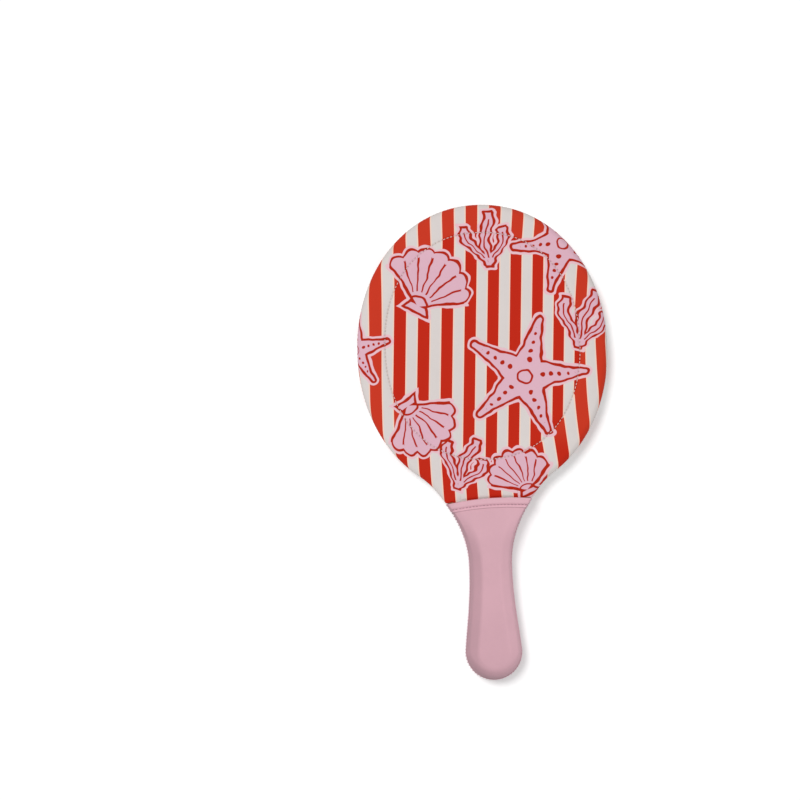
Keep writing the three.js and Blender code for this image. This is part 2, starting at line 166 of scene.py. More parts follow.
class RacketSewing(PropertyGroup):
    """Seams, hems and stitches"""

    quilt_dip: length("Quilt dip", "Depth of the valley along the stitched oval", 0.8)
    quilt_reach: length("Quilt reach", "Half the width of that valley", 4.4)
    groove_dip: length("Groove dip", "Depth of the thread's own groove in the valley", 0.35)
    groove_reach: length("Groove reach", "Half the width of that groove", 1.3)
    band_drop: length("Band drop", "How far the outer band lies below the field", 0.3)
    needle_hole: length("Needle hole", "Depth of the holes between stitches", 1.1)
    ring_stitches: count("Ring stitches", "Stitches in one oval", 184)
    ring_thread: length("Ring thread", "Radius of the thread in the oval", 0.28)
    rim_pitch: length("Rim pitch", "Distance between the rim's stitches", 3)
    rim_thread: length("Rim thread", "Radius of the thread in the rim", 0.26)
    grip_pitch: length("Grip pitch", "Distance between the grip's side stitches", 2.6)
    grip_thread: length("Grip thread", "Radius of the thread in the grip's side", 0.26)
    lip: length("Lip", "How far the seam's edge stands out from the grip's side", 0.75)
    mouth_dip: length("Mouth dip", "How far the sleeve's mouth presses the cover in", 1.4)
    hem_arch: length("Hem arch", "Middle of the hem above its corners", 2.4)
    hem_skew: fraction("Hem skew", "Rise of the hem towards its right corner", 0.037)
    hem_fold: length("Hem fold", "Depth of the folded hem", 7.6)
    hem_rise: length("Hem rise", "How far the fold stands proud", 0.9)
    hem_row: length("Hem row", "Stitches below the hem's edge", 5.4)
    hem_dip: length("Hem dip", "Depth of the valley along the hem's stitches", 1.05)
    hem_thread: length("Hem thread", "Radius of the thread in the hem", 0.27)


class RacketPrint(PropertyGroup):
    """Colours and patterns of the covers and of the grip"""

    red: colour("Red", "Stripes", 192, 37, 15)
    # Paler red of the outer band: partly the stretched fabric, partly painted light that brightens
    # the sloped band on the head's top and sides
    stretched_and_lit_red: colour("Stretched red", "Stripes where the cover is stretched", 200, 54, 31)
    white: colour("White", "Ground of the print", 217, 209, 206)
    cream: colour("Cream", "Thin border of a stripe", 243, 210, 192)
    pink: colour("Pink", "Motifs", 221, 178, 193)
    halo: colour("Halo", "Pale surround of a motif", 231, 190, 199)
    ink: colour("Ink", "Outlines of the motifs", 177, 34, 7)
    grip: colour("Grip", "Sleeve of the grip", 213, 168, 179)
    # Hem thread: a dark pink thread, darkened further with painted shade of the grooves it sinks
    # into
    hem_thread: colour("Hem thread", "Thread of the sleeve's hem", 122, 70, 92)
    side_thread: colour("Side thread", "Thread of the sleeve's side seam", 224, 177, 189)
    pale_thread: colour("Pale thread", "Thread of the covers", 237, 217, 209)
    stripe_pitch: length("Stripe pitch", "Front: from one red stripe to the next", 18.07)
    stripe_start: length("Stripe start", "Front: first red stripe right of the middle", 3.4)
    back_pitch: length("Back pitch", "Back: from one red stripe to the next", 50.8)


class RacketStage(PropertyGroup):
    """Camera and lamps"""

    lens: length("Lens", "Focal length of the camera", 85)
    height: length("Height", "Camera above the racket's face", 1511)
    sky: fraction("Sky", "Share of the light from all around", 0.23)
    key: fraction("Key", "Share of the grip's and the floor's light from the key lamp", 0.45)
    grip_fill: fraction("Grip fill", "Share of the grip's light from the right", 0.31)
    head_key: fraction("Head key", "Share of the head's light from the left", 0.34)
    head_dome: fraction("Head dome", "Share of the head's light from a wide dome", 0.43)
    floor: fraction("Floor", "Share of its light that the floor returns", 0.95)
    glow: fraction("Glow", "What lifts the floor that is seen to white", 0.41)


# Forms

# A sleeve's flank, from the hem to the waist and the butt: how softly its bevel begins, how much
# of the bevel's slope is left, and how much of the flank turns over in a round
SOFT_HEM, SOFT_WAIST, SOFT_BUTT = 0.4, 0.12, 0.4
SLOPE_HEM, SLOPE_BUTT = 0.25, 0.35
ROUND_BUTT = 0.95

# The seam's edge on the sleeve: its share of the lip at the hem, and how its border drops
LIP_HEM = 0.4
LIP_EDGE, LIP_DROP = 0.4 * MM, 0.3

# How far the racket's tip lies past the solid rim thread, and half the seam between two covers
TIP_PAST_THREAD = 0.39 * MM
SEAM_HALF = 0.75 * MM

# Relief of a cover, and the least heights of its rounded rim and its lining
CREST_REACH = 2 * MM
GATHER, GATHER_REACH = 0.1 * MM, 2 * MM
HOLE_REACH = 0.45 * MM
MOUTH_REACH_ABOVE, MOUTH_REACH_BELOW = 1.9 * MM, 1.4 * MM
SOFTNESS, SOFT_PATCHES = 0.14 * MM, 32
SOFT_FROM, SOFT_TO = 4 * MM, 20 * MM
LEAST_ROUND = 1 * MM
LINING_EDGE, LINING_LOW = 0.15 * MM, 0.4 * MM
CORNER_STEPS = 6

# Relief of the hem
LEDGE = 0.45 * MM
HEM_VALLEY_REACH = 1.5 * MM
PUCKER, PUCKER_REACH = 0.14 * MM, 0.7 * MM
HEM_STITCHES = 20


def smooth_share(value, low, high):
    share = min(max((value - low) / (high - low), 0), 1)
    return share * share * (3 - 2 * share)


def blend(low, high, share):
    return low + (high - low) * share


def outside_oval(x, y, half_width, half_length, power):
    """How far outside an oval a point lies, along the line from the oval's centre."""
    reach = math.hypot(x, y)
    across = abs(x / half_width) ** power + abs(y / half_length) ** power
    return reach - reach / across ** (1 / power) if across else -half_width


def rounded(height, low, from_edge, radius):
    """Height of a face that is rounded down to a low edge over a radius."""
    share = 1 - min(max(from_edge / radius, 0), 1)
    return low + (height - low) * math.sqrt(1 - share * share)


def bevelled(layers, height, low, from_edge, radius, lip, crisp, ended):
    """Height of a face that falls in a bevel, rounds into the side and ends in a low lip.

    The bevel is faint by the hem, where crisp is 0, and turns round at the butt's end,
    where ended is 1.
    """
    if from_edge < lip:
        return low * (1 - LIP_DROP * max(1 - from_edge / LIP_EDGE, 0) ** 2)
    place = min((from_edge - lip) / (radius - lip), 1)
    beyond = layers.bevel_reach - place
    soft = blend(blend(SOFT_HEM, SOFT_WAIST, crisp), SOFT_BUTT, ended)
    fall = max(beyond, 0) if abs(beyond) > soft else (beyond + soft) ** 2 / (4 * soft)
    slope = layers.bevel_slope * blend(SLOPE_HEM, 1, crisp) * blend(1, SLOPE_BUTT, ended)
    wall = 1 - min(place / blend(layers.side_round, ROUND_BUTT, ended), 1)
    return low + (height - low) * (1 - slope * fall) * math.sqrt(1 - wall * wall)


def lengths_along(path):
    """How far along a line of points each point lies."""
    lengths = [0.0]
    for before, after in zip(path, path[1:]):
        lengths.append(lengths[-1] + (after - before).length)
    return lengths


def walk(path, lengths, targets):
    """The point at each of some lengths along a line, and the line's direction there."""
    places = []
    for target in targets:
        after = min(max(bisect_left(lengths, target), 1), len(path) - 1)
        first, second = path[after - 1], path[after]
        span = lengths[after] - lengths[after - 1]
        share = (target - lengths[after - 1]) / span if span else 0
        places.append((first.lerp(second, share), (second - first).normalized()))
    return places


class Form:
    """Outline and heights of the racket, worked out from its sizes."""

    def __init__(self, scene):
        self.outline = outline = scene.racket_outline
        self.layers = layers = scene.racket_layers
        self.sewing = scene.racket_sewing
        low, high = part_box("core_board")
        self.place = Vector((0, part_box("rim_seam_thread")[1].y, (low.z + high.z) / 2))
        self.place.y += TIP_PAST_THREAD - outline.head_half_length
        self.hem = outline.head_half_length + outline.throat_length
        self.waist = self.hem + outline.neck_length
        self.butt_centre = self.waist + outline.grip_length
        self.butt = self.butt_centre + outline.butt_radius
        half, gap, skin = layers.board / 2, layers.gap, layers.neoprene
        self.board_half = half
        self.throat_half = half + gap + skin
        self.field_half = half + gap + layers.pad + gap + skin
        self.shoulder_half = half + gap + layers.pad_edge + gap + skin
        self.hem_half = self.throat_half + gap + skin
        self.seam_half = SEAM_HALF
        self.rim_round = self.shoulder_half - self.seam_half
        self.trace_outline()

    # Outline

    def head_half_width_at(self, below):
        half_width, half_length, power = self.head
        along = min(max(below / half_length, 0), 1) ** power
        return half_width * (1 - along) ** (1 / power)

    def handle_half_width(self, below, inset=0):
        outline = self.outline
        if below > self.butt_centre:
            radius = outline.butt_radius - inset
            return math.sqrt(max(radius**2 - (below - self.butt_centre) ** 2, 0))
        if below < self.waist:
            share = (self.waist - below) / outline.neck_length
            return blend(outline.waist_half_width, outline.hem_half_width, share**2) - inset
        share = (below - self.waist) / outline.grip_length
        swell = share**2 * (1 + share - share**2)
        return blend(outline.waist_half_width, outline.butt_radius, swell) - inset

    def neck_join(self, halvings=24):
        """How far below the head's centre the head's oval is as narrow as the neck."""
        high, low = self.outline.ring_half_length, self.outline.head_half_length
        for _ in range(halvings):
            middle = (low + high) / 2
            if self.head_half_width_at(middle) > self.handle_half_width(middle):
                high = middle
            else:
                low = middle
        return low

    def trace_outline(self, head_steps=260, fillet_steps=12, handle_steps=150, butt_steps=60):
        """Right-hand edge of the whole racket from its tip to its butt, as points."""
        half_width, half_length, power = self.head
        join, fillet = self.neck_join(), self.outline.throat_fillet
        neck_start = join + fillet
        last_turn = -math.asin(((join - fillet) / half_length) ** (power / 2))
        edge = []
        for step in range(head_steps + 1):
            sine = math.sin(blend(QUARTER, last_turn, step / head_steps))
            across = max(1 - sine**2, 0) ** (1 / power)
            along = math.copysign(abs(sine) ** (2 / power), sine)
            edge.append(Vector((half_width * across, half_length * along, 0)))
        corner = Vector((self.handle_half_width(join), -join, 0))
        end = Vector((self.handle_half_width(neck_start), -neck_start, 0))
        start = edge[-1].copy()
        for step in range(1, fillet_steps + 1):
            share = step / fillet_steps
            first, second = start.lerp(corner, share), corner.lerp(end, share)
            edge.append(first.lerp(second, share))
        for step in range(1, handle_steps + 1):
            below = blend(neck_start, self.butt_centre, step / handle_steps)
            edge.append(Vector((self.handle_half_width(below), -below, 0)))
        for step in range(1, butt_steps + 1):
            turn, radius = QUARTER * step / butt_steps, self.outline.butt_radius
            y = -self.butt_centre - radius * math.sin(turn)
            edge.append(Vector((radius * math.cos(turn), y, 0)))
        self.edge = edge
        left = [Vector((-point.x, point.y, 0)) for point in reversed(edge[1:-1])]
        self.loop = edge + left
        self.tree = KDTree(len(self.loop))
        for index, point in enumerate(self.loop):
            self.tree.insert(point, index)
        self.tree.balance()

    def from_edge(self, x, y):
        """Distance from a point to the racket's outline."""
        point = Vector((x, y, 0))
        _, index, best = self.tree.find(point)
        for step in (-1, 0):
            first = self.loop[(index + step) % len(self.loop)]
            second = self.loop[(index + step + 1) % len(self.loop)]
            near, share = intersect_point_line(point, first, second)
            near = first if share < 0 else second if share > 1 else near
            best = min(best, (point - near).length)
        return best

    # Covers

    def ring_line(self, points, fine=4000):
        """Points at even steps along the stitched oval, anticlockwise from its tip."""
        trail = []
        for step in range(fine + 1):
            turn = QUARTER + math.tau * step / fine
            direction = Vector((math.cos(turn), math.sin(turn)))
            trail.append(direction * (1 - outside_oval(*direction, *self.ring)))
        lengths = lengths_along(trail)
        self.ring_length = lengths[-1]
        targets = [lengths[-1] * step / points for step in range(points)]
        return [point + self.ring_centre for point, _ in walk(trail, lengths, targets)]

    @property
    def ring(self):
        """Half width, half length and fullness of the stitched oval."""
        outline = self.outline
        return outline.ring_half_width, outline.ring_half_length, outline.ring_power

    @property
    def head(self):
        """Half width, half length and fullness of the head's oval."""
        outline = self.outline
        return outline.head_half_width, outline.head_half_length, outline.head_power

    @property
    def ring_centre(self):
        return Vector((0, self.outline.ring_rise))

    def from_ring(self, x, y):
        return outside_oval(x, y - self.outline.ring_rise, *self.ring)

    def face_height(self, x, y):
        """A cover's outer face over the middle plane, without stitches or rim."""
        from_ring = self.from_ring(x, y)
        if from_ring <= 0:
            return self.field_half
        from_rim = -outside_oval(x, y, *self.head)
        if from_rim < self.rim_round:
            run = self.outline.throat_length + self.rim_round
            share = smooth_share(self.rim_round - from_rim, 0, run)
            return blend(self.shoulder_half, self.throat_half, share)
        share = from_ring / (from_ring + from_rim - self.rim_round)
        crest = self.field_half - self.sewing.band_drop * min(from_ring / CREST_REACH, 1)
        return blend(crest, self.shoulder_half, share**1.5)

    def quilt_drop(self, x, y, phase):
        """How far the thread draws the face down, deepest at the needle's holes."""
        sewing = self.sewing
        off = abs(self.from_ring(x, y))
        valley = sewing.quilt_dip * max(1 - off / sewing.quilt_reach, 0) ** 2
        groove = sewing.groove_dip * max(1 - off / sewing.groove_reach, 0) ** 1.5
        pull = math.cos(phase)
        gather = GATHER * math.exp(-off / GATHER_REACH) * pull
        hole = sewing.needle_hole * math.exp(-off / HOLE_REACH) * max(pull, 0)
        return valley + groove + gather + hole

    def mouth_drop(self, x, y, side):
        """How far the sleeve's mouth presses the cover in."""
        above = y - self.hem_edge(x, side)
        reach = MOUTH_REACH_ABOVE if above > 0 else MOUTH_REACH_BELOW
        return self.sewing.mouth_dip * max(1 - abs(above) / reach, 0) ** 2

    def cover_outer(self, x, y, phase, side=1):
        """A cover's outside; phase tells how far along a stitch of the oval the point lies."""
        face = self.face_height(x, y) - self.quilt_drop(x, y, phase) - self.mouth_drop(x, y, side)
        radius = max(self.face_height(x, y) - self.seam_half, LEAST_ROUND)
        from_edge = self.from_edge(x, y)
        softness = SOFTNESS * noise.noise(Vector((x, y, 0)) * SOFT_PATCHES)
        softness *= smooth_share(from_edge, 0, 3 * radius)
        softness *= smooth_share(self.hem + y, SOFT_FROM, SOFT_TO)
        return rounded(face + softness, self.seam_half, from_edge, radius)

    def cover_inner(self, x, y):
        """A cover's lining."""
        face = self.face_height(x, y) - self.quilt_drop(x, y, QUARTER)
        skin = self.layers.neoprene
        radius = max(self.face_height(x, y) - self.seam_half - skin, LEAST_ROUND)
        inside = self.from_edge(x, y) - skin
        if inside <= 0:
            return LINING_EDGE
        return rounded(face - skin, LINING_LOW, inside, radius)

    def hem_edge(self, x, side):
        """Height of the sleeve's top edge. Side is 1 on the front and -1 on the back."""
        sewing = self.sewing
        arch = sewing.hem_arch * (1 - (x / self.outline.hem_half_width) ** 2)
        return -self.hem + arch + sewing.hem_skew * side * x

    def cover_edge(self, flank, side):
        """A cover's edge on one flank: rim, corner at the hem, then the tab under the sleeve."""
        gap = self.layers.gap
        points = []
        for point in self.edge:
            place = Vector((flank * point.x, point.y))
            if place.y < self.hem_edge(place.x, side) + gap:
                before = points[-1]
                above = before.y - self.hem_edge(before.x, side) - gap
                under = self.hem_edge(place.x, side) + gap - place.y
                points.append(before.lerp(place, above / (above + under)))
                break
            points.append(place)
        corner = len(points) - 1
        inset = self.layers.tab_inset
        for step in range(1, CORNER_STEPS + 1):
            x = points[corner].x - flank * inset * step / CORNER_STEPS
            points.append(Vector((x, self.hem_edge(x, side) + gap)))
        tab_end = self.hem + self.layers.tab
        points.append(Vector((flank * self.handle_half_width(tab_end, inset), -tab_end)))
        points.append(Vector((0, -tab_end)))
        return points, corner

    # Grip

    def grip_half(self, below):
        """Half the grip's thickness, which grows from the hem."""
        share = smooth_share(below, self.hem, self.hem + self.layers.ramp)
        return blend(self.hem_half, self.layers.grip / 2, share)

    def fold_rise(self, below):
        """How far the hem's fold stands proud; it ends in a small ledge."""
        fold_end = self.hem + self.sewing.hem_fold
        return self.sewing.hem_rise * (1 - smooth_share(below, fold_end - LEDGE, fold_end))

    def hem_relief(self, below, x):
        """The fold's thickness, and the valley and puckers along its stitches."""
        off = abs(below - self.hem - self.sewing.hem_row)
        valley = self.sewing.hem_dip * max(1 - off / HEM_VALLEY_REACH, 0) ** 1.5
        wave = math.cos(math.tau * x / self.hem_pitch)
        pucker = PUCKER * math.exp(-off / PUCKER_REACH) * wave
        return self.fold_rise(below) - valley - pucker

    @property
    def hem_pitch(self):
        """Length of a hem stitch: so many fit across, and each spans four of the columns."""
        flat = self.outline.hem_half_width - (self.hem_half - self.layers.side_flat)
        return 2 * flat / HEM_STITCHES


JOIN_REACH, FLAT_REACH = 0.002 * MM, 0.001 * MM


def sheet_of(columns, chart=None):
    """A closed shell through columns of points; the last column meets the first again."""
    around, rows = len(columns), len(columns[0]) - 1
    bm = bmesh.new()
    bmesh.ops.create_grid(bm, x_segments=around, y_segments=rows, size=1)
    at = {}
    for vert in bm.verts:
        column = round((vert.co.x + 1) / 2 * around)
        row = round((vert.co.y + 1) / 2 * rows)
        at[vert] = (column, row)
        vert.co = columns[column % around][row]
    if chart:
        layer = bm.loops.layers.uv.new("print")
        for face in bm.faces:
            for corner in face.loops:
                column, row = at[corner.vert]
                corner[layer].uv = chart[column % len(chart)][row]
    bmesh.ops.remove_doubles(bm, verts=bm.verts, dist=JOIN_REACH)
    bmesh.ops.dissolve_degenerate(bm, edges=bm.edges, dist=FLAT_REACH)
    bmesh.ops.recalc_face_normals(bm, faces=bm.faces)
    if bm.calc_volume(signed=True) < 0:
        bmesh.ops.reverse_faces(bm, faces=bm.faces)
    return bm


def put_in_place(bm, form, side=1):
    """Turns a back piece over and moves a piece from the head's centre to the frame."""
    if side < 0:
        bmesh.ops.rotate(bm, verts=bm.verts, matrix=Matrix.Rotation(math.pi, 3, "Y"))
    bmesh.ops.translate(bm, verts=bm.verts, vec=form.place)
    return bm


def new_mesh(name, bm):
    mesh = bpy.data.meshes.new(name)
    bm.to_mesh(mesh)
    bm.free()
    return mesh


def new_object(name, bm, material):
    mesh = new_mesh(name, bm)
    mesh.materials.append(material)
    thing = bpy.data.objects.new(name, mesh)
    bpy.context.collection.objects.link(thing)
    return thing


def make_piece(name, bm, material, node):
    """One piece of the racket that takes the place of a node."""
    piece = new_object(name, bm, material)
    piece.data.shade_smooth()
    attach(piece, BODY)
    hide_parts(node)
    return piece


# Covers and pads


def cover_rays(form, side, points):
    """For each point of the stitched oval, the point of the cover's edge on the same ray."""
    centre = form.ring_centre
    flanks = {}
    for flank in (-1, 1):
        edge, corner = form.cover_edge(flank, side)
        turns = [math.atan2(abs(p.x), p.y - centre.y) for p in edge]
        flanks[flank] = (edge, corner, turns)
    rays = []
    for ring in points:
        out = ring - centre
        flank = 1 if out.x >= 0 else -1
        edge, corner, turns = flanks[flank]
        turn = math.atan2(abs(out.x), out.y)
        after = min(max(bisect_left(turns, turn), 1), len(edge) - 1)
        first, span = edge[after - 1] - centre, edge[after] - edge[after - 1]
        share = (out.y * first.x - out.x * first.y) / (out.x * span.y - out.y * span.x)
        end = centre + first + span * share
        rays.append({"ring": ring, "end": end, "cut": turn > turns[corner]})
    for flank, (edge, corner, _) in flanks.items():
        nearest = min(rays, key=lambda ray: (ray["end"] - edge[corner]).length)
        nearest["end"], nearest["cut"] = edge[corner].copy(), False
    return rays


# Millimetres from the stitched oval, and above the sleeve's mouth
DIP_STEPS = [0.25, 0.5, 0.8, 1.15, 1.6, 2.2, 3.1, 4.2, 5.6]
MOUTH_STEPS = [3.2, 2.2, 1.4, 0.8, 0.3, -0.3, -1.0, -2.0]
FIELD_STEPS = 16
BAND_STEPS = 12
ROUND_STEPS = 9
LINING_STEPS = 8
LINING_CROWD = 1.6
MIDDLE_STEPS = 4
LEAST_FALL = 0.2

# A cover's edge: how far the face turns in above it, and its own steps down to the lining,
# as shares of the height where it is cut, and as inset and height in millimetres at the rim
CUT_TURN_IN, CUT_LINING = 4 * MM, 0.3 * MM
CUT_STEPS = (0.15, 0.4, 0.7, 1)
RIM_STEPS = ((0, 0.42), (0.25, 0.16), (0.7, 0.1), (1.4, 0.12))
RIM_PROBE, LEAST_SLANT = 0.5 * MM, 0.28
BAND_LEFT = 0.8 * MM

# The print slips towards the throat at the oval, then further with the stretch round the rim
SLIP, SLIP_REACH, SLIP_GROWTH = 0.9 * MM, 1.5 * MM, 0.09
ASKEW_LOW, ASKEW_HIGH, ASKEW_LEFT = 0.3, 0.22, 0.17

# Stations over a pad: shares of its reach, and millimetres from the stitched oval
PAD_FIELD = (0, 0.2, 0.4, 0.6, 0.72)
PAD_DIP = (-4, -2, -1, 0, 1, 2, 4)
PAD_BAND = (0.3, 0.6, 0.85, 1)
PAD_LEAST = 0.3 * MM


def band_places(form, ray, outer, start, end, side):
    """Distances past the stitched oval, close together where the sleeve's mouth presses."""
    mouth = 0
    for _ in range(4):
        place = ray["ring"] + outer * mouth
        mouth += (place.y - form.hem_edge(place.x, side)) / max(-outer.y, LEAST_FALL)
    if ray["cut"] and mouth - MOUTH_STEPS[-1] * MM < end:
        near = [mouth - off * MM for off in MOUTH_STEPS]
        even = BAND_STEPS - len(near)
        return [blend(start, near[0], step / (even + 1)) for step in range(1, even + 1)] + near
    return [blend(start, end, step / BAND_STEPS) for step in range(1, BAND_STEPS + 1)]


def cover_column(form, ray, phase, side):
    """One line of a cover from its middle over the rim and back along its lining."""
    centre = form.ring_centre
    ring, end = ray["ring"], ray["end"]
    inner = (ring - centre).normalized()
    reach = (ring - centre).length
    outer = (end - ring).normalized()
    run = (end - ring).length
    if ray["cut"]:
        turn_in = CUT_TURN_IN
    else:
        before = ring + outer * (run - RIM_PROBE)
        slant = max(form.from_edge(before.x, before.y) / RIM_PROBE, LEAST_SLANT)
        probe = ring + outer * (run - form.rim_round)
        turn_in = (form.face_height(probe.x, probe.y) - form.seam_half) / slant
    dip_end = DIP_STEPS[-1] * MM
    field_end = reach - dip_end
    places = [centre + inner * (field_end * step / FIELD_STEPS) for step in range(FIELD_STEPS)]
    places += [ring - inner * dip * MM for dip in reversed(DIP_STEPS)]
    places += [ring, *(ring + outer * dip * MM for dip in DIP_STEPS)]
    band = band_places(form, ray, outer, dip_end, run - turn_in - BAND_LEFT, side)
    places += [ring + outer * distance for distance in band]
    for step in range(ROUND_STEPS + 1):
        turn = QUARTER * (1 - step / ROUND_STEPS)
        places.append(ring + outer * (run - turn_in * (1 - math.cos(turn))))
    line = [Vector((*p, form.cover_outer(*p, phase, side))) for p in places]
    if ray["cut"]:
        top, low = line[-1].z, form.cover_inner(end.x, end.y)
        line += [Vector((*end, blend(top, low, share))) for share in CUT_STEPS]
        lining_start = CUT_LINING
    else:
        line[-1].z = form.seam_half
        for inset, height in RIM_STEPS:
            line.append(Vector((*(end - outer * inset * MM), height * MM)))
        lining_start = form.layers.neoprene
    shares = [(step / LINING_STEPS) ** LINING_CROWD for step in range(LINING_STEPS)]
    lining = [end - outer * blend(lining_start, run, share) for share in shares]
    lining += [blend(ring, centre, step / (MIDDLE_STEPS - 1)) for step in range(MIDDLE_STEPS)]
    return line + [Vector((*p, form.cover_inner(*p))) for p in lining]


def print_chart(form, ray, line):
    """Where each point of a column lies on the print, which is stretched round the rim."""
    ring, end = ray["ring"], ray["end"]
    outer = (end - ring).normalized()
    side = (ring - form.ring_centre).normalized()
    below = max(-side.y, 0)
    askew = max(side.x, 0) * abs(side.y) * (ASKEW_LOW if side.y < 0 else ASKEW_HIGH)
    askew -= ASKEW_LEFT * max(-side.x, 0) * max(side.y, 0)
    at_ring = FIELD_STEPS + len(DIP_STEPS)
    chart = [(p.x, p.y) for p in line[: at_ring + 1]]
    travelled = 0.0
    for step, (before, after) in enumerate(zip(line[at_ring:], line[at_ring + 1 :])):
        piece = after - before
        travelled += piece.xy.length if step < len(DIP_STEPS) else piece.length
        place = ring + outer * travelled
        jump = SLIP * smooth_share(travelled, 0, SLIP_REACH)
        slip = below * (jump + SLIP_GROWTH * travelled) + askew * travelled
        chart.append((place.x - slip, place.y))
    return chart


def cover(form, side):
    """One printed cover; four of its columns make a stitch of the oval."""
    rays = cover_rays(form, side, form.ring_line(4 * form.sewing.ring_stitches))
    columns = [cover_column(form, ray, QUARTER * index, side) for index, ray in enumerate(rays)]
    chart = [print_chart(form, ray, line) for ray, line in zip(rays, columns)]
    return put_in_place(sheet_of(columns, chart), form, side)


def pad(form, side):
    """Foam between board and cover, on coarser rays, skived thin towards the rim."""
    gap = form.layers.gap
    centre = form.ring_centre
    floor = form.board_half + gap
    columns = []
    for ray in cover_rays(form, side, form.ring_line(form.sewing.ring_stitches)):
        out = ray["end"] - centre
        reach = out.length - outside_oval(*ray["end"], *form.head) - form.rim_round
        ring = (ray["ring"] - centre).length
        stations = [reach * share for share in PAD_FIELD]
        stations += [ring + off * MM for off in PAD_DIP]
        stations += [blend(ring + PAD_DIP[-1] * MM, reach, share) for share in PAD_BAND]
        line = []
        for distance in stations:
            p = centre + out.normalized() * distance
            line.append(Vector((*p, max(form.cover_inner(*p) - gap, floor + PAD_LEAST))))
        back = (line[-1], line[len(PAD_FIELD) - 1], centre)
        columns.append(line + [Vector((*p.xy, floor)) for p in back])
    return put_in_place(sheet_of(columns), form, side)


# Grip sleeve

FLANK_STEPS = 16
FLAT_STEPS = 80
NECK_STEPS, GRIP_STEPS, BUTT_STEPS = 26, 28, 22
HEM_STEPS = (-4.6, -4.2, -3.6, -2.8, -2.1, -1.5, -1, -0.6, -0.3, 0, 0.3, 0.6, 1, 1.4)
FOLD_STEPS = (-0.45, -0.22, 0, 0.4, 1.2)
NOSE_STEPS, NOSE_RISE = (0.33, 0.66, 1), 0.8 * MM

# Inset and height in millimetres of the points by the seam, outside and on the lining
OUTSIDE_EDGE = ((0.75, 0.1), (0.3, 0.16), (0.06, 0.42), (0, 0.9))
INSIDE_EDGE = ((0, 0.12), (0, 0.3), (0, 0.6), (0, 1.0))
FOLD_AT_SIDE = 0.5
BUTT_BLEND = 4 * MM
RELIEF_START = 0.8


def sleeve_section(form, below, side, inset):
    """Points over one half of the grip from its left seam to its right seam."""
    layers, sewing = form.layers, form.sewing
    outside = inset == 0
    fade = 1 - smooth_share(below, form.hem, form.hem + layers.ramp)
    skew = sewing.hem_skew * side * fade
    arch = sewing.hem_arch * fade
    half, low = form.grip_half(below), layers.side_flat
    round_in = half - low
    crisp = smooth_share(below, form.hem, form.waist)
    ended = smooth_share(below, form.butt_centre - BUTT_BLEND, form.butt - BUTT_BLEND)
    proud = FOLD_AT_SIDE * form.fold_rise(below) if outside else 0
    lip = sewing.lip * blend(LIP_HEM, 1, crisp)

    def edge_half(flank):
        nominal = form.handle_half_width(below, inset)
        return max(form.handle_half_width(below - skew * flank * nominal, inset), 0) + proud

    left, right = edge_half(-1), edge_half(1)

    def point(x, z=None):
        width = left if x < 0 else right
        lift = arch * max(1 - (x / width) ** 2, 0) if width else 0
        y = -below + lift + skew * x
        if z is None:
            shrink = min(1, (width - proud) / width) if width else 1
            from_edge = form.from_edge(x * shrink, y)
            if below > form.butt_centre - 0.1 * MM and width == 0:
                from_edge = inset
            if outside:
                z = bevelled(layers, half, low, from_edge, round_in, lip, crisp, ended)
                share = smooth_share(z - low, 0, round_in * RELIEF_START)
                z += form.hem_relief(below, x) * share
            else:
                z = rounded(half - inset, low, from_edge - inset, round_in - inset)
        return Vector((x, y, z))

    def flank_points(flank, width):
        turn_in = min(round_in - inset, width)
        points = []
        for off, height in OUTSIDE_EDGE if outside else INSIDE_EDGE:
            points.append(point(flank * max(width - off * MM, 0), height * MM))
        for step in range(FLANK_STEPS + 1):
            turn = QUARTER * step / FLANK_STEPS
            x = flank * (width - turn_in * (1 - math.cos(turn)))
            points.append(point(x, low if step == 0 else None))
        return points, width - turn_in

    left_points, left_flat = flank_points(-1, left)
    right_points, right_flat = flank_points(1, right)
    shares = [step / FLAT_STEPS for step in range(1, FLAT_STEPS)]
    flat = [point(blend(-left_flat, right_flat, share)) for share in shares]
    return left_points + flat + right_points[::-1]


def sleeve_depths(form):
    """Depths of the sleeve's rows, outside and inside: close at the hem, then even."""
    depths = [form.hem + form.sewing.hem_row + off * MM for off in HEM_STEPS]
    depths += [form.hem + form.sewing.hem_fold + off * MM for off in FOLD_STEPS]
    for end, steps in ((form.waist, NECK_STEPS), (form.butt_centre, GRIP_STEPS)):
        start = depths[-1]
        depths += [blend(start, end, step / steps) for step in range(1, steps + 1)]
    pairs = [(depth, depth) for depth in depths]
    radius, skin = form.outline.butt_radius, form.layers.neoprene
    for step in range(1, BUTT_STEPS + 1):
        share = math.sin(QUARTER * step / BUTT_STEPS)
        pairs.append([form.butt_centre + reach * share for reach in (radius, radius - skin)])
    return pairs


def sleeve(form, side):
    """Half of the sleeve: its rows inside and outside, joined by a round nose at the hem."""
    skin = form.layers.neoprene
    depths = sleeve_depths(form)
    sections = [
        (sleeve_section(form, outer, side, 0), sleeve_section(form, inner, side, skin))
        for outer, inner in depths
    ]
    first_outer, first_inner = sections[0]
    middles = [(a + b) / 2 for a, b in zip(first_outer, first_inner)]
    heights = [-depth for depth, _ in depths]
    for step in NOSE_STEPS:
        rise = Vector((0, NOSE_RISE * math.sin(QUARTER * step), 0))
        share = math.cos(QUARTER * step)
        heights.insert(0, rise.y - depths[0][0])
        nose = [
            [middle.lerp(point, share) + rise for middle, point in zip(middles, line)]
            for line in (first_outer, first_inner)
        ]
        sections.insert(0, nose)
    rings = [outer + inner[::-1] for outer, inner in sections]
    columns = list(zip(*rings))
    centres = columns[len(first_outer) // 2]
    chart = []
    for column in columns:
        across = [
            math.copysign(math.hypot(point.x, point.z - centre.z), point.x)
            for point, centre in zip(column, centres)
        ]
        chart.append(list(zip(across, heights)))
    return put_in_place(sheet_of(columns, chart), form, side)


# Stitches

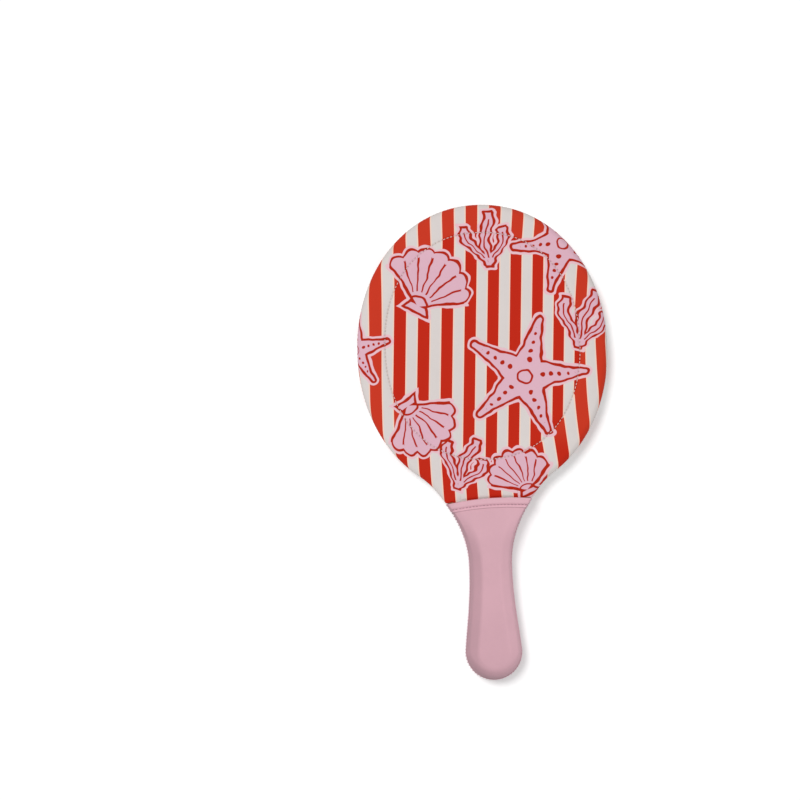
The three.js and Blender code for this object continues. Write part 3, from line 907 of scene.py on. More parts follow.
# A stitch's length as a share of its pitch, and its bow as a share of the thread's radius
RING_STITCH, RING_BOW = 0.66, 0.9
HEM_STITCH, HEM_BOW = 0.68, 0.3
RIM_STITCH, RIM_BOW, RIM_SINK = 2.3 * MM, 0.14 * MM, 0.12 * MM
GRIP_SINK, GRIP_SEAM_START = 0.03 * MM, 1.2 * MM
HEM_SEAM_LOW = 1.2 * MM
SEAM_SLANT = 0.35
SUNK_END, AHEAD = 0.35, 0.02


def stitch_mesh(reach, radius, rise, power=2, sides=6, steps=8):
    """One stitch of thread, bowed over the fabric with its ends sunk in it."""

    def path(share):
        height = rise * (1 - abs(share) ** power) - SUNK_END * radius * share**4
        return Vector((0, share * reach / 2, height))

    columns = []
    for side in range(sides):
        turn = math.tau * side / sides
        line = []
        for step in range(steps + 1):
            share = math.sin(QUARTER * (2 * step / steps - 1))
            ahead = path(min(share + AHEAD, 1)) - path(max(share - AHEAD, -1))
            across = Vector((0, -ahead.z, ahead.y)).normalized()
            thick = radius * math.sqrt(max(1 - share**6, 0))
            aside = Vector((thick * math.cos(turn), 0, 0))
            line.append(path(share) + across * thick * math.sin(turn) + aside)
        columns.append(line)
    rows = range(steps + 1)
    chart = [[(side / sides, step / steps) for step in rows] for side in range(sides + 1)]
    return new_mesh("stitch", sheet_of(columns, chart))


def sew(form, side, places, *sizes, **shape):
    """A row of equal stitches; each place is a point, the thread's direction and the way out."""
    stitch = stitch_mesh(*sizes, **shape)
    bm = bmesh.new()
    for point, along, out in places:
        known = len(bm.verts)
        bm.from_mesh(stitch)
        bm.verts.ensure_lookup_table()
        across = along.cross(out).normalized()
        out = across.cross(along).normalized()
        matrix = Matrix((across, along.normalized(), out)).transposed().to_4x4()
        matrix.translation = point
        bmesh.ops.transform(bm, matrix=matrix, verts=bm.verts[known:])
    bpy.data.meshes.remove(stitch)
    return put_in_place(bm, form, side)


def ring_stitches(form, side):
    sewing = form.sewing
    ring = form.ring_line(4 * sewing.ring_stitches)
    pitch = form.ring_length / sewing.ring_stitches
    places = []
    for index in range(sewing.ring_stitches):
        before, here, after = (ring[(4 * index + step) % len(ring)] for step in (1, 2, 3))
        height = form.cover_outer(here.x, here.y, math.pi)
        along = Vector((after.x - before.x, after.y - before.y, 0))
        places.append((Vector((here.x, here.y, height)), along, Vector((0, 0, 1))))
    radius = sewing.ring_thread
    return sew(form, side, places, RING_STITCH * pitch, radius, RING_BOW * radius)


def seam_places(path, pitch, sink):
    """Evenly spaced stitches that cross a seam in the middle plane, leaning along it."""
    lengths = lengths_along(path)
    total = max(round(lengths[-1] / pitch), 1)
    targets = [lengths[-1] * (index + 0.5) / total for index in range(total)]
    places = []
    for point, along in walk(path, lengths, targets):
        out = Vector((along.y, -along.x, 0))
        over = (Vector((0, 0, 1)) + along * SEAM_SLANT).normalized()
        places.append((point - out * sink, over, out))
    return places


def rim_stitches(form):
    left, corner = form.cover_edge(-1, 1)
    right, other = form.cover_edge(1, 1)
    path = [Vector((p.x, p.y, 0)) for p in left[: corner + 1][::-1] + right[1 : other + 1]]
    sewing = form.sewing
    places = seam_places(path[::-1], sewing.rim_pitch, RIM_SINK)
    return sew(form, 1, places, RIM_STITCH, sewing.rim_thread, RIM_BOW)


def grip_stitches(form):
    sewing = form.sewing
    path = [point for point in form.edge if -point.y > form.hem + GRIP_SEAM_START]
    path += [Vector((-point.x, point.y, 0)) for point in path[-2::-1]]
    places = seam_places(path, sewing.grip_pitch, sewing.lip)
    reach = 2 * (form.layers.side_flat + 0.5 * sewing.grip_thread)
    rise = sewing.lip - sewing.grip_thread - GRIP_SINK
    return sew(form, 1, places, reach, sewing.grip_thread, rise, power=6, steps=14)


def hem_stitches(form, side):
    sewing = form.sewing
    below = form.hem + sewing.hem_row
    low = form.layers.side_flat + HEM_SEAM_LOW
    section = [point for point in sleeve_section(form, below, side, 0) if point.z > low]
    pitch = form.hem_pitch
    centre = len(section) // 2
    places = []
    for flank in (1, -1):
        path = section[centre:] if flank > 0 else section[centre::-1]
        lengths = lengths_along(path)
        targets = [(index + 0.5) * pitch for index in range(int(lengths[-1] / pitch))]
        for point, along in walk(path, lengths, targets):
            out = along.cross(Vector((0, flank, 0)))
            places.append((point, along, out if out.z > 0 else -out))
    radius = sewing.hem_thread
    return sew(form, side, places, HEM_STITCH * pitch, radius, HEM_BOW * radius)


# Reckoning in shader nodes


class Value:
    """A number that changes over a surface, worked out by Math nodes."""

    def __init__(self, socket):
        self.socket = socket

    def math(self, operation, *others, clamp=False):
        return reckon(operation, self, *others, clamp=clamp)

    def __add__(self, other):
        return self.math("ADD", other)

    def __sub__(self, other):
        return self.math("SUBTRACT", other)

    def __rsub__(self, other):
        return reckon("SUBTRACT", other, self)

    def __mul__(self, other):
        return self.math("MULTIPLY", other)

    def __truediv__(self, other):
        return self.math("DIVIDE", other)

    def __abs__(self):
        return self.math("ABSOLUTE")

    def __neg__(self):
        return self * -1

    __radd__ = __add__
    __rmul__ = __mul__

    def clamped(self):
        return self.math("ADD", 0, clamp=True)

    def wrap(self, half):
        return self.math("WRAP", half, -half)

    def least(self, other):
        return self.math("MINIMUM", other)

    def most(self, other):
        return self.math("MAXIMUM", other)

    def under(self, limit, soft):
        """1 where the value lies under a limit, 0 over it, with a soft border."""
        return ((limit - self) / soft + 0.5).clamped()


def reckon(operation, *items, clamp=False):
    """A Math node over numbers and values, of which at least one is a value."""
    tree = next(item.socket.id_data for item in items if isinstance(item, Value))
    inputs = dict(enumerate(items))
    return output(add_node(tree, "ShaderNodeMath", inputs, operation=operation, use_clamp=clamp))


def hypotenuse(first, second):
    return (first * first + second * second).math("SQRT")


def add_node(tree, kind, inputs=None, **settings):
    node = tree.nodes.new(kind)
    for name, value in settings.items():
        setattr(node, name, value)
    feed(node, inputs or {})
    return node


def feed(node, inputs):
    """Sets or links a node's inputs by name or index."""
    for key, item in inputs.items():
        slot = node.inputs[key]
        if isinstance(item, (Value, bpy.types.NodeSocket)):
            node.id_data.links.new(getattr(item, "socket", item), slot)
        else:
            slot.default_value = (*item, 1) if slot.type == "RGBA" else item


def output(node, key=0):
    return Value(node.outputs[key])


def parts_of(vector):
    node = add_node(vector.id_data, "ShaderNodeSeparateXYZ", {0: vector})
    return [Value(socket) for socket in node.outputs]


def mix(tree, share, first, second, blend_type="MIX"):
    inputs = {0: share, 6: first, 7: second}
    node = add_node(tree, "ShaderNodeMix", inputs, data_type="RGBA", blend_type=blend_type)
    return node.outputs[2]


def vector_math(operation, first, second):
    inputs = {0: first, 3 if operation == "SCALE" else 1: second}
    node = add_node(first.id_data, "ShaderNodeVectorMath", inputs, operation=operation)
    return node.outputs[0]


def noise_over(place, scale, detail, roughness=0.5):
    inputs = {"Vector": place, "Scale": scale, "Detail": detail, "Roughness": roughness}
    return add_node(place.id_data, "ShaderNodeTexNoise", inputs)


def print_place(tree):
    return add_node(tree, "ShaderNodeUVMap", uv_map="print").outputs[0]


def emboss(shader, height, strength, depth=0.1 * MM):
    """Gives a shader fine relief."""
    inputs = {"Strength": strength, "Distance": depth, "Height": height}
    bump = add_node(shader.id_data, "ShaderNodeBump", inputs)
    feed(shader, {"Normal": bump.outputs[0]})


# Node groups

ORIGIN = (0.0, 0.0, 0.0)


def new_group(name, inputs, outputs):
    """An empty node group with named sockets, and its input and output nodes."""
    tree = bpy.data.node_groups.new(name, "ShaderNodeTree")
    for key, default in inputs.items():
        kind = "NodeSocketVector" if default == ORIGIN else "NodeSocketFloat"
        socket = tree.interface.new_socket(key, in_out="INPUT", socket_type=kind)
        socket.default_value = default
    for key in outputs:
        tree.interface.new_socket(key, in_out="OUTPUT", socket_type="NodeSocketFloat")
    return tree, tree.nodes.new("NodeGroupInput"), tree.nodes.new("NodeGroupOutput")


def use_group(tree, name, inputs):
    """A node for a group, which is made when there is none of that name yet."""
    group = bpy.data.node_groups.get(name) or NODE_GROUPS[name](name)
    return add_node(tree, "ShaderNodeGroup", inputs, node_tree=group)


def knit(name):
    """Fine jersey on the neoprene: ribs of small V-shaped loops, and soft mottling."""
    inputs = {"Place": ORIGIN, "Loop": 0.6 * MM}
    tree, entry, result = new_group(name, inputs, ("Height", "Tone"))
    place, loop = entry.outputs["Place"], output(entry, "Loop")
    x, y, _ = parts_of(place)
    rib = x / loop
    bow = abs(rib.wrap(0.5)) * 0.9
    course = (y / loop * 1.25 + bow) * math.tau
    ridges = (rib * math.tau).math("COSINE") * 0.5 + course.math("SINE") * 0.5
    mottle = output(noise_over(place, 260, 3, roughness=0.6))
    cloud = output(noise_over(place, 34, 2))
    tone = (mottle - 0.5) * 0.5 + (cloud - 0.5) * 0.7 + ridges * 0.1
    feed(result, {"Height": ridges * 0.5 + mottle * 0.5, "Tone": tone})
    return tree


def stripes(name):
    """Stripes on a print: how far outside the nearest dark stripe each place lies."""
    inputs = {"Print": ORIGIN, "Pitch": 18 * MM, "Start": 0.0, "Lean": 0.0, "Tightening": 0.0}
    tree, entry, result = new_group(name, inputs, ("Distance",))
    x, y, _ = parts_of(entry.outputs["Print"])
    pitch, start, lean, tightening = (output(entry, index) for index in range(1, 5))
    turn = (x - lean * y - start) / pitch
    stripe = turn + tightening * turn * turn
    feed(result, {"Distance": (abs((stripe - 0.25).wrap(0.5)) - 0.25) * pitch})
    return tree


def grain(name):
    """Wood: long fibres along Y, wide growth bands and fine pores."""
    inputs = {"Place": ORIGIN, "Band": 7 * MM}
    tree, entry, result = new_group(name, inputs, ("Tone", "Height"))
    place, band = entry.outputs["Place"], output(entry, "Band")
    drawn = add_node(tree, "ShaderNodeMapping", {"Vector": place, "Scale": (1, 0.05, 1)})
    fibre = output(noise_over(drawn.outputs[0], 1400, 4))
    drift = output(noise_over(drawn.outputs[0], 90, 2))
    x, _, z = parts_of(place)
    growth = ((x + z * 1.7 + drift * 0.01) / band * math.tau).math("SINE") * 0.5 + 0.5
    feed(result, {"Tone": growth * 0.6 + fibre * 0.6 - 0.1, "Height": fibre})
    return tree


def motif(name):
    """A motif of the print, upright round its centre: its outline's distance, and its marks."""
    inputs = {"Print": ORIGIN, "Centre": ORIGIN, "Turn": 0.0, "Size": 40 * MM}
    tree, entry, result = new_group(name, inputs, ("Distance", "Marks"))
    place, centre, turn, _ = (entry.outputs[key] for key in inputs)
    turned = {"Vector": place, "Center": centre, "Angle": turn}
    around = add_node(tree, "ShaderNodeVectorRotate", turned, rotation_type="Z_AXIS")
    x, y, _ = parts_of(vector_math("SUBTRACT", around.outputs[0], centre))
    outer, marks = MOTIFS[name](x, y, output(entry, "Size"))
    feed(result, {"Distance": outer, "Marks": marks})
    return tree


def starfish(x, y, size):
    """Five tapered arms with rows of dots, and a ring in the middle."""
    reach = hypotenuse(x, y)
    turn = abs(x.math("ARCTAN2", y).wrap(math.pi / 5))
    along = reach * turn.math("COSINE")
    off = reach * turn.math("SINE")
    share = (along / size).clamped()
    arm = size * (0.06 + 0.25 * (1 - share).math("POWER", 1.35))
    distance = hypotenuse(along - share * size, off) - arm
    body = reach - size * 0.3
    outer = distance.math("SMOOTH_MIN", body, size * 0.16)
    step = size * 0.145
    dot = hypotenuse((along - size * 0.3).math("WRAP", step * 0.5, step * -0.5), off)
    dot = (dot - size * (0.05 - 0.03 * share)).most(size * 0.24 - along).most(along - size * 0.86)
    middle = abs(reach - size * 0.12) - size * 0.017
    return outer, dot.least(middle)


def shell(x, y, size, lobes=7, half_turn=1.02):
    """A fan seen from outside, with ribs, a scalloped edge and two ears."""
    y = y + size * 0.45
    reach = hypotenuse(x, y)
    turn = x.math("ARCTAN2", y)
    lobe = 2 * half_turn / lobes
    bulge = (turn.wrap(lobe / 2) * (math.pi / lobe)).math("COSINE") * 0.075
    fan = size * (1 - 0.16 * (turn / half_turn) * (turn / half_turn) + bulge - 0.04)
    top = reach - fan
    flank = reach * (abs(turn) - half_turn).math("SINE")
    ears = (abs(x) + y * 0.5 - size * 0.19).most(abs(y + size * 0.01) - size * 0.075)
    outer = top.math("SMOOTH_MAX", flank, size * 0.08).least(ears)
    rib = reach * abs((turn - lobe / 2).wrap(lobe / 2)) - size * 0.009 - reach * 0.012
    rib = rib.most(size * 0.26 - reach).most(reach - fan * 0.9).most(flank + size * 0.03)
    arc = (abs(reach - size * 0.19) - size * 0.018).most(flank + size * 0.01)
    return outer, rib.least(arc)


FRONDS = ((-0.55, 0.6, 0.78), (0.02, 2.1, 1.0), (0.55, 4.0, 0.7))


def seaweed(x, y, size):
    """Wavy fronds that spread from one root, each with frilled edges and a vein."""
    y = y + size * 0.5
    fronds, veins = [], []
    for lean, phase, tall in FRONDS:
        share = (y / (size * tall)).clamped()
        wave = (share * 6.5 + phase).math("SINE") * share * size * 0.09
        aside = abs(x - y * lean - wave)
        frill = (share * 31 + phase).math("SINE") * 0.012
        off = aside - size * (0.04 + 0.15 * share * (1.02 - share).math("SQRT") + frill)
        over = (y - size * tall).most(-y)
        fronds.append(off.most(over).least(0) + hypotenuse(off.most(0), over.most(0)))
        vein = (aside - size * 0.014).most(size * 0.16 - y).most(y - size * tall * 0.86)
        veins.append(vein)
    return reduce(Value.least, fronds), reduce(Value.least, veins)


MOTIFS = {"Starfish": starfish, "Scallop shell": shell, "Seaweed": seaweed}
NODE_GROUPS = {"Jersey knit": knit, "Stripes": stripes, "Wood grain": grain}
NODE_GROUPS.update(dict.fromkeys(MOTIFS, motif))


# Materials

# Motifs of the front: centre from the head's centre, turn in radians, and size
FRONT_MOTIFS = (
    ("Starfish", (0.033, -0.022, 0), 0.28, 0.047),
    ("Scallop shell", (-0.041, 0.055, 0), 0.5, 0.047),
    ("Starfish", (0.066, 0.083, 0), 0.9, 0.038),
    ("Scallop shell", (-0.052, -0.057, 0), 2.6, 0.042),
    ("Scallop shell", (0.022, -0.100, 0), -0.35, 0.034),
    ("Starfish", (-0.103, 0.004, 0), 0.1, 0.028),
    ("Seaweed", (0.006, 0.088, 0), -0.1, 0.044),
    ("Seaweed", (0.082, 0.022, 0), 0.25, 0.048),
    ("Seaweed", (-0.019, -0.090, 0), 0.4, 0.044),
)
PRINT_EDGE = 0.2 * MM
OUTLINE_HALF = 1.05 * MM
HALO_WIDTH = 3 * MM
WANDER_SCALE, WANDER = 95, 4.2 * MM

# Stripes: the pale border beside the red, both soft edges, and how each face's stripes lie
CREAM_MIDDLE, CREAM_HALF, CREAM_EDGE, RED_EDGE = 0.4 * MM, 0.5 * MM, 0.2 * MM, 0.15 * MM
FRONT_LEAN, FRONT_TIGHTENING = 0.0514, 0.00786
BACK_START, BACK_TURN = 12 * MM, QUARTER + 0.082

# Tints of the sleeve: its mottling, its fold, and painted shade that darkens it towards the butt
DARKER, LIGHTER = 0.955, 1.045
FOLD_TINT, FOLD_SHARE, FOLD_BORDER, FOLD_EDGE = 1.12, 0.7, 0.3 * MM, 0.2 * MM
BUTT_SHADE, BUTT_SHADE_START, BUTT_SHADE_EDGE = 0.93, 0.87, 60 * MM


def new_material(name):
    """A material with an empty node tree; one that has the name already is emptied."""
    material = bpy.data.materials.get(name) or bpy.data.materials.new(name)
    material.use_nodes = True
    material.node_tree.nodes.clear()
    return material


def start(name, roughness, sheen=0, gloss=0.25):
    """A material and its Principled shader, whose constants stand on its own sockets."""
    material = new_material(name)
    inputs = {
        "Roughness": roughness,
        "Specular IOR Level": gloss,
        "Sheen Weight": sheen,
        "Sheen Roughness": 0.45,
    }
    shader = add_node(material.node_tree, "ShaderNodeBsdfPrincipled", inputs)
    add_node(material.node_tree, "ShaderNodeOutputMaterial", {"Surface": shader.outputs[0]})
    return material, material.node_tree, shader


def tinted(colour, factor):
    return [min(part * factor, 1) for part in colour]


def finish_cloth(shader, place, base, roughness, strength):
    """Puts the jersey over a colour: its tone, its dull gloss and its fine relief."""
    tree = shader.id_data
    jersey = use_group(tree, "Jersey knit", {"Place": place})
    tone = output(jersey, "Tone")
    shaded = mix(tree, 1, base, 1 + tone * 0.09, "MULTIPLY")
    feed(shader, {"Base Color": shaded, "Roughness": (tone * 0.12 + roughness).clamped()})
    emboss(shader, output(jersey, "Height"), strength)


def striped(colours, place, pitch, start, lean=0, tightening=0):
    """Ground and stripes, with the thin pale border that the printing leaves."""
    tree = place.id_data
    inputs = {"Print": place, "Pitch": pitch, "Start": start, "Lean": lean}
    distance = output(use_group(tree, "Stripes", {**inputs, "Tightening": tightening}))
    cream = abs(distance - CREAM_MIDDLE).under(CREAM_HALF, CREAM_EDGE)
    ground = mix(tree, cream, colours.white, colours.cream)
    # The paler red outside the oval is partly stretched fabric and partly painted light on the
    # sloped outer band
    stretch = add_node(tree, "ShaderNodeAttribute", attribute_name="stretch")
    red = mix(tree, output(stretch, "Fac"), colours.red, colours.stretched_and_lit_red)
    return mix(tree, distance.under(0, RED_EDGE), ground, red)


def front_print(colours, chart):
    """Motifs with an ink outline and a halo on narrow stripes, in lines a little unsteady."""
    tree = chart.id_data
    pitch, first = colours.stripe_pitch, colours.stripe_start
    ground = striped(colours, chart, pitch, first, FRONT_LEAN, FRONT_TIGHTENING)
    wander = noise_over(chart, WANDER_SCALE, 1).outputs["Color"]
    shift = vector_math("SCALE", vector_math("SUBTRACT", wander, (0.5, 0.5, 0.5)), WANDER)
    drawn = vector_math("ADD", chart, shift)
    distances, marks = [], []
    for name, centre, turn, size in FRONT_MOTIFS:
        inputs = {"Print": drawn, "Centre": centre, "Turn": turn, "Size": size}
        node = use_group(tree, name, inputs)
        distances.append(output(node, "Distance"))
        marks.append(output(node, "Marks").most(distances[-1]))
    outer = reduce(Value.least, distances)
    ink = (abs(outer) - OUTLINE_HALF).least(reduce(Value.least, marks)).under(0, PRINT_EDGE)
    base = mix(tree, outer.under(HALO_WIDTH, PRINT_EDGE), ground, colours.halo)
    base = mix(tree, outer.under(0, PRINT_EDGE), base, colours.pink)
    return mix(tree, ink, base, colours.ink)


def back_print(colours, chart):
    """Broad stripes across."""
    inputs = {"Vector": chart, "Rotation": (0, 0, BACK_TURN)}
    turned = add_node(chart.id_data, "ShaderNodeMapping", inputs).outputs[0]
    return striped(colours, turned, colours.back_pitch, BACK_START)


PRINTS = {"front": front_print, "back": back_print}


def printed_neoprene(colours, face):
    material, tree, shader = start(f"Printed neoprene, {face}", 0.75, 0.02, gloss=0.12)
    chart = print_place(tree)
    finish_cloth(shader, chart, PRINTS[face](colours, chart), 0.76, 0.35)
    return material


def grip_neoprene(form, colour):
    """Pink neoprene, paler on the hem's fold and darkened towards the butt with painted shade."""
    material, tree, shader = start("Pink neoprene", 0.72, 0.15)
    chart = print_place(tree)
    below = -parts_of(chart)[1]
    mottle = output(noise_over(chart, 55, 3))
    base = mix(tree, mottle, tinted(colour, DARKER), tinted(colour, LIGHTER))
    fold = below.under(form.hem + form.sewing.hem_fold - FOLD_BORDER, FOLD_EDGE)
    base = mix(tree, fold * FOLD_SHARE, base, tinted(colour, FOLD_TINT))
    # Painted shade: the sleeve grows darker towards the butt
    butt_shade_start = form.waist + BUTT_SHADE_START * form.outline.grip_length
    base = mix(tree, 1 - below.under(butt_shade_start, BUTT_SHADE_EDGE), base, tinted(colour, BUTT_SHADE))
    finish_cloth(shader, chart, base, 0.74, 0.4)
    return material


def thread(name, colour):
    """Twisted thread; its UV runs round and along each stitch."""
    material, tree, shader = start(name, 0.6, 0.3)
    x, y, _ = parts_of(print_place(tree))
    twist = ((x * 2 + y * 5) * math.tau).math("SINE") * 0.5 + 0.5
    base = mix(tree, twist, tinted(colour, 0.88), colour)
    feed(shader, {"Base Color": base, "Roughness": 0.5 + twist * 0.2})
    emboss(shader, twist, 0.6)
    return material


def foam():
    material, tree, shader = start("Foam", 0.95)
    place = add_node(tree, "ShaderNodeTexCoord").outputs["Object"]
    cells = add_node(tree, "ShaderNodeTexVoronoi", {"Vector": place, "Scale": 1500})
    tone = output(cells, "Distance")
    base = mix(tree, tone, (0.80, 0.78, 0.72), (0.62, 0.60, 0.54))
    feed(shader, {"Base Color": base, "Roughness": 0.85 + tone * 0.1})
    emboss(shader, tone, 0.5, 0.2 * MM)
    return material


def wood(name, pale, dark, plies=None):
    material, tree, shader = start(name, 0.6)
    place = add_node(tree, "ShaderNodeTexCoord").outputs["Object"]
    fibres = use_group(tree, "Wood grain", {"Place": place})
    tone = output(fibres, "Tone")
    if plies:
        layer = ((parts_of(place)[2] / plies).math("FLOOR") * 0.5).wrap(0.5)
        tone = tone * 0.7 + abs(layer) * 0.6
    roughness = (0.5 + tone * 0.2).clamped()
    feed(shader, {"Base Color": mix(tree, tone, pale, dark), "Roughness": roughness})
    emboss(shader, output(fibres, "Height"), 0.3, 0.2 * MM)
    return material


# Operators

SIDES = (("front", 1), ("back", -1))
SCALES = ("front_scale", "back_scale", "upper_dowel", "lower_dowel")

# Where a cover's red turns paler, partly for the stretched fabric and partly as painted light on
# the sloped outer band: past the stitched oval, and up from the throat
STRETCH_AND_LIGHT_START, STRETCH_AND_LIGHT_FULL = -1 * MM, 2 * MM
THROAT_START, THROAT_FULL = -85 * MM, -60 * MM


class RACKET_OT_covers(Operator):
    """Printed neoprene covers of both faces"""

    bl_idname = "racket.covers"
    bl_label = "Printed covers"

    def execute(self, context):
        form, colours = Form(context.scene), context.scene.racket_print
        for face, side in SIDES:
            bm, material = cover(form, side), printed_neoprene(colours, face)
            name, node = f"printed_cover_{face}", f"{face}_cover"
            piece = make_piece(name, bm, material, node)
            self.mark_stretch_and_light(piece, form, side)
        return {"FINISHED"}

    def mark_stretch_and_light(self, piece, form, side):
        """Notes where the red turns paler, for the stretched fabric and as painted light on the
        sloped band: outside the oval, but not over the throat.
        """
        layer = piece.data.attributes.new("stretch", "FLOAT", "POINT")
        values = []
        for vert in piece.data.vertices:
            x, y = side * (vert.co.x - form.place.x), vert.co.y - form.place.y
            outside = smooth_share(form.from_ring(x, y), STRETCH_AND_LIGHT_START, STRETCH_AND_LIGHT_FULL)
            values.append(outside * smooth_share(y, THROAT_START, THROAT_FULL))
        layer.data.foreach_set("value", values)


class RACKET_OT_pads(Operator):
    """Foam pads between the board and the covers"""

    bl_idname = "racket.pads"
    bl_label = "Foam pads"

    def execute(self, context):
        form, material = Form(context.scene), foam()
        for face, side in SIDES:
            bm = pad(form, side)
            make_piece(f"foam_pad_{face}", bm, material, f"{face}_pad")
        return {"FINISHED"}


class RACKET_OT_sleeve(Operator):
    """Both halves of the grip's neoprene sleeve"""

    bl_idname = "racket.sleeve"
    bl_label = "Grip sleeve"

    def execute(self, context):
        form = Form(context.scene)
        material = grip_neoprene(form, context.scene.racket_print.grip)
        for face, side in SIDES:
            bm, name, node = sleeve(form, side), f"sleeve_half_{face}", f"{face}_grip_sleeve"
            make_piece(name, bm, material, node)
        return {"FINISHED"}


class RACKET_OT_stitches(Operator):
    """Rows of stitches: the oval on each face, the rim, the hem and the grip's sides"""

    bl_idname = "racket.stitches"
    bl_label = "Stitches"

    def execute(self, context):
        form, colours = Form(context.scene), context.scene.racket_print
        pale = thread("Pale thread", colours.pale_thread)
        # The hem thread's colour carries painted shade of its grooves on top of its own dark pink
        dark = thread("Dark pink thread", colours.hem_thread)
        light = thread("Light pink thread", colours.side_thread)
        for face, side in SIDES:
            name, bm = f"oval_stitches_{face}", ring_stitches(form, side)
            make_piece(name, bm, pale, f"{face}_ring_thread")
            name, bm = f"hem_stitches_{face}", hem_stitches(form, side)
            make_piece(name, bm, dark, f"{face}_hem_thread")
        make_piece("rim_stitches", rim_stitches(form), pale, "rim_seam_thread")
        make_piece("grip_stitches", grip_stitches(form), light, "grip_seam_thread")
        return {"FINISHED"}


class RACKET_OT_wood(Operator):
    """Finishes of the board, the grip scales and the dowels"""

    bl_idname = "racket.wood"
    bl_label = "Wood"

    def execute(self, context):
        plywood = wood("Plywood", (0.62, 0.43, 0.24), (0.42, 0.26, 0.12), plies=1.2 * MM)
        beech = wood("Beech", (0.60, 0.37, 0.19), (0.45, 0.25, 0.11))
        for node in ("core_board", *SCALES):
            materials = frame["nodes"][node].data.materials
            materials.clear()
            materials.append(plywood if node == "core_board" else beech)
        return {"FINISHED"}


GRIP_PIECES = ("sleeve_half", "hem_stitches", "grip_stitches", *SCALES)
HEAD_PIECES = ("printed_cover", "foam_pad", "oval_stitches", "rim_stitches", "core_board")

# Where each lamp stands from the racket, and how wide it looks in degrees
LAMPS = {
    "key": ((-0.38, 0.43, 1), 22),
    "grip_fill": ((1, 0.05, 1), 50),
    "head_key": ((-0.36, 0.08, 1), 40),
    "head_dome": ((0, 0, 1), 180),
}
CAMERA_X, CAMERA_Y, CAMERA_ROLL = -67.65 * MM, 36.52 * MM, math.radians(-2.2)
SENSOR_WIDTH = 36
FLOOR_HALF, FLOOR_DROP = 6, 0.2 * MM


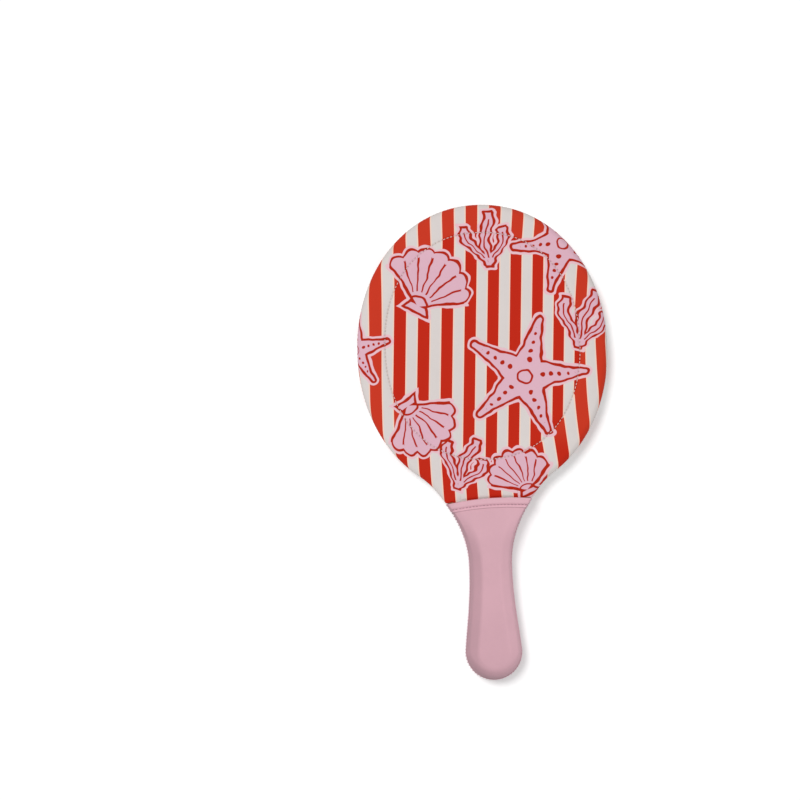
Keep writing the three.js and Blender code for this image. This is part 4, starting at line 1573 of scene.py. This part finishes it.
class RACKET_OT_stage(Operator):
    """White floor, soft lamps and the camera over the racket"""

    bl_idname = "racket.stage"
    bl_label = "Stage"

    def execute(self, context):
        stage = context.scene.racket_stage
        context.scene.view_settings.view_transform = "Standard"
        floor = self.floor(stage)
        grip = [piece for piece in bpy.data.objects if piece.name.startswith(GRIP_PIECES)]
        head = [piece for piece in bpy.data.objects if piece.name.startswith(HEAD_PIECES)]
        lit = {"key": [*grip, floor], "grip_fill": grip, "head_key": head, "head_dome": head}
        for name, (towards, spread) in LAMPS.items():
            self.lamp(f"{name}_lamp", getattr(stage, name), towards, spread, lit[name])
        context.scene.world = world = bpy.data.worlds.new("studio")
        world.use_nodes = True
        tree = world.node_tree
        seen = output(add_node(tree, "ShaderNodeLightPath"), "Is Camera Ray")
        strength = seen * (1 - stage.sky) + stage.sky
        feed(tree.nodes["Background"], {"Color": (1, 1, 1), "Strength": strength})
        camera = bpy.data.objects.new("camera", bpy.data.cameras.new("camera"))
        camera.data.lens = stage.lens / MM
        camera.data.sensor_width = SENSOR_WIDTH
        _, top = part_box("front_cover")
        camera.location = (CAMERA_X, CAMERA_Y, top.z + stage.height)
        camera.rotation_euler = (0, 0, CAMERA_ROLL)
        context.collection.objects.link(camera)
        context.scene.camera = camera
        return {"FINISHED"}

    def floor(self, stage):
        """A matt floor that only the camera and reflections see glowing."""
        bm = bmesh.new()
        bmesh.ops.create_grid(bm, x_segments=1, y_segments=1, size=FLOOR_HALF)
        bmesh.ops.translate(bm, verts=bm.verts, vec=(0, 0, -FLOOR_DROP))
        material = new_material("White floor")
        tree = material.node_tree
        matt = add_node(tree, "ShaderNodeBsdfDiffuse", {"Color": [stage.floor] * 3})
        glow = add_node(tree, "ShaderNodeEmission", {"Color": (1, 1, 1), "Strength": stage.glow})
        both = add_node(tree, "ShaderNodeAddShader", {0: matt.outputs[0], 1: glow.outputs[0]})
        path = add_node(tree, "ShaderNodeLightPath")
        seen = output(path, "Is Camera Ray").most(output(path, "Is Glossy Ray"))
        seen = seen.most(output(path, "Is Transmission Ray"))
        inputs = {0: seen, 1: matt.outputs[0], 2: both.outputs[0]}
        choice = add_node(tree, "ShaderNodeMixShader", inputs)
        add_node(tree, "ShaderNodeOutputMaterial", {"Surface": choice.outputs[0]})
        floor = new_object("floor", bm, material)
        return floor

    def lamp(self, name, share, towards, spread, lit):
        """A far lamp that gives the level surfaces of some objects a share of their light."""
        towards = Vector(towards).normalized()
        lamp = bpy.data.lights.new(name, "SUN")
        lamp.energy = share * math.pi / towards.z
        lamp.angle = math.radians(spread)
        thing = bpy.data.objects.new(name, lamp)
        thing.location = towards
        thing.rotation_euler = towards.to_track_quat("Z", "Y").to_euler()
        bpy.context.collection.objects.link(thing)
        group = bpy.data.collections.new(name)
        for piece in lit:
            group.objects.link(piece)
        thing.light_linking.receiver_collection = group


class RACKET_PT_panel(Panel):
    """Lists the racket's operators and sizes"""

    bl_idname = "RACKET_PT_panel"
    bl_label = "Beach tennis racket"
    bl_space_type = "VIEW_3D"
    bl_region_type = "UI"
    bl_category = "Racket"

    def draw(self, context):
        for operator in OPERATORS:
            self.layout.operator(operator.bl_idname)
        for key, group in GROUPS.items():
            settings = getattr(context.scene, key)
            box = self.layout.box()
            box.label(text=group.__doc__)
            for name in group.__annotations__:
                box.prop(settings, name)


GROUPS = {
    "racket_outline": RacketOutline,
    "racket_layers": RacketLayers,
    "racket_sewing": RacketSewing,
    "racket_print": RacketPrint,
    "racket_stage": RacketStage,
}
OPERATORS = (
    RACKET_OT_covers,
    RACKET_OT_pads,
    RACKET_OT_sleeve,
    RACKET_OT_stitches,
    RACKET_OT_wood,
    RACKET_OT_stage,
)
CLASSES = (*GROUPS.values(), *OPERATORS, RACKET_PT_panel)


def register():
    for item in CLASSES:
        bpy.utils.register_class(item)
    for key, group in GROUPS.items():
        setattr(bpy.types.Scene, key, PointerProperty(type=group))


def unregister():
    for key in GROUPS:
        delattr(bpy.types.Scene, key)
    for item in reversed(CLASSES):
        bpy.utils.unregister_class(item)


def main():
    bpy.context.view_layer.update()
    register()
    bpy.ops.racket.covers()
    bpy.ops.racket.pads()
    bpy.ops.racket.sleeve()
    bpy.ops.racket.stitches()
    bpy.ops.racket.wood()
    bpy.ops.racket.stage()


if __name__ == "__main__":
    main()
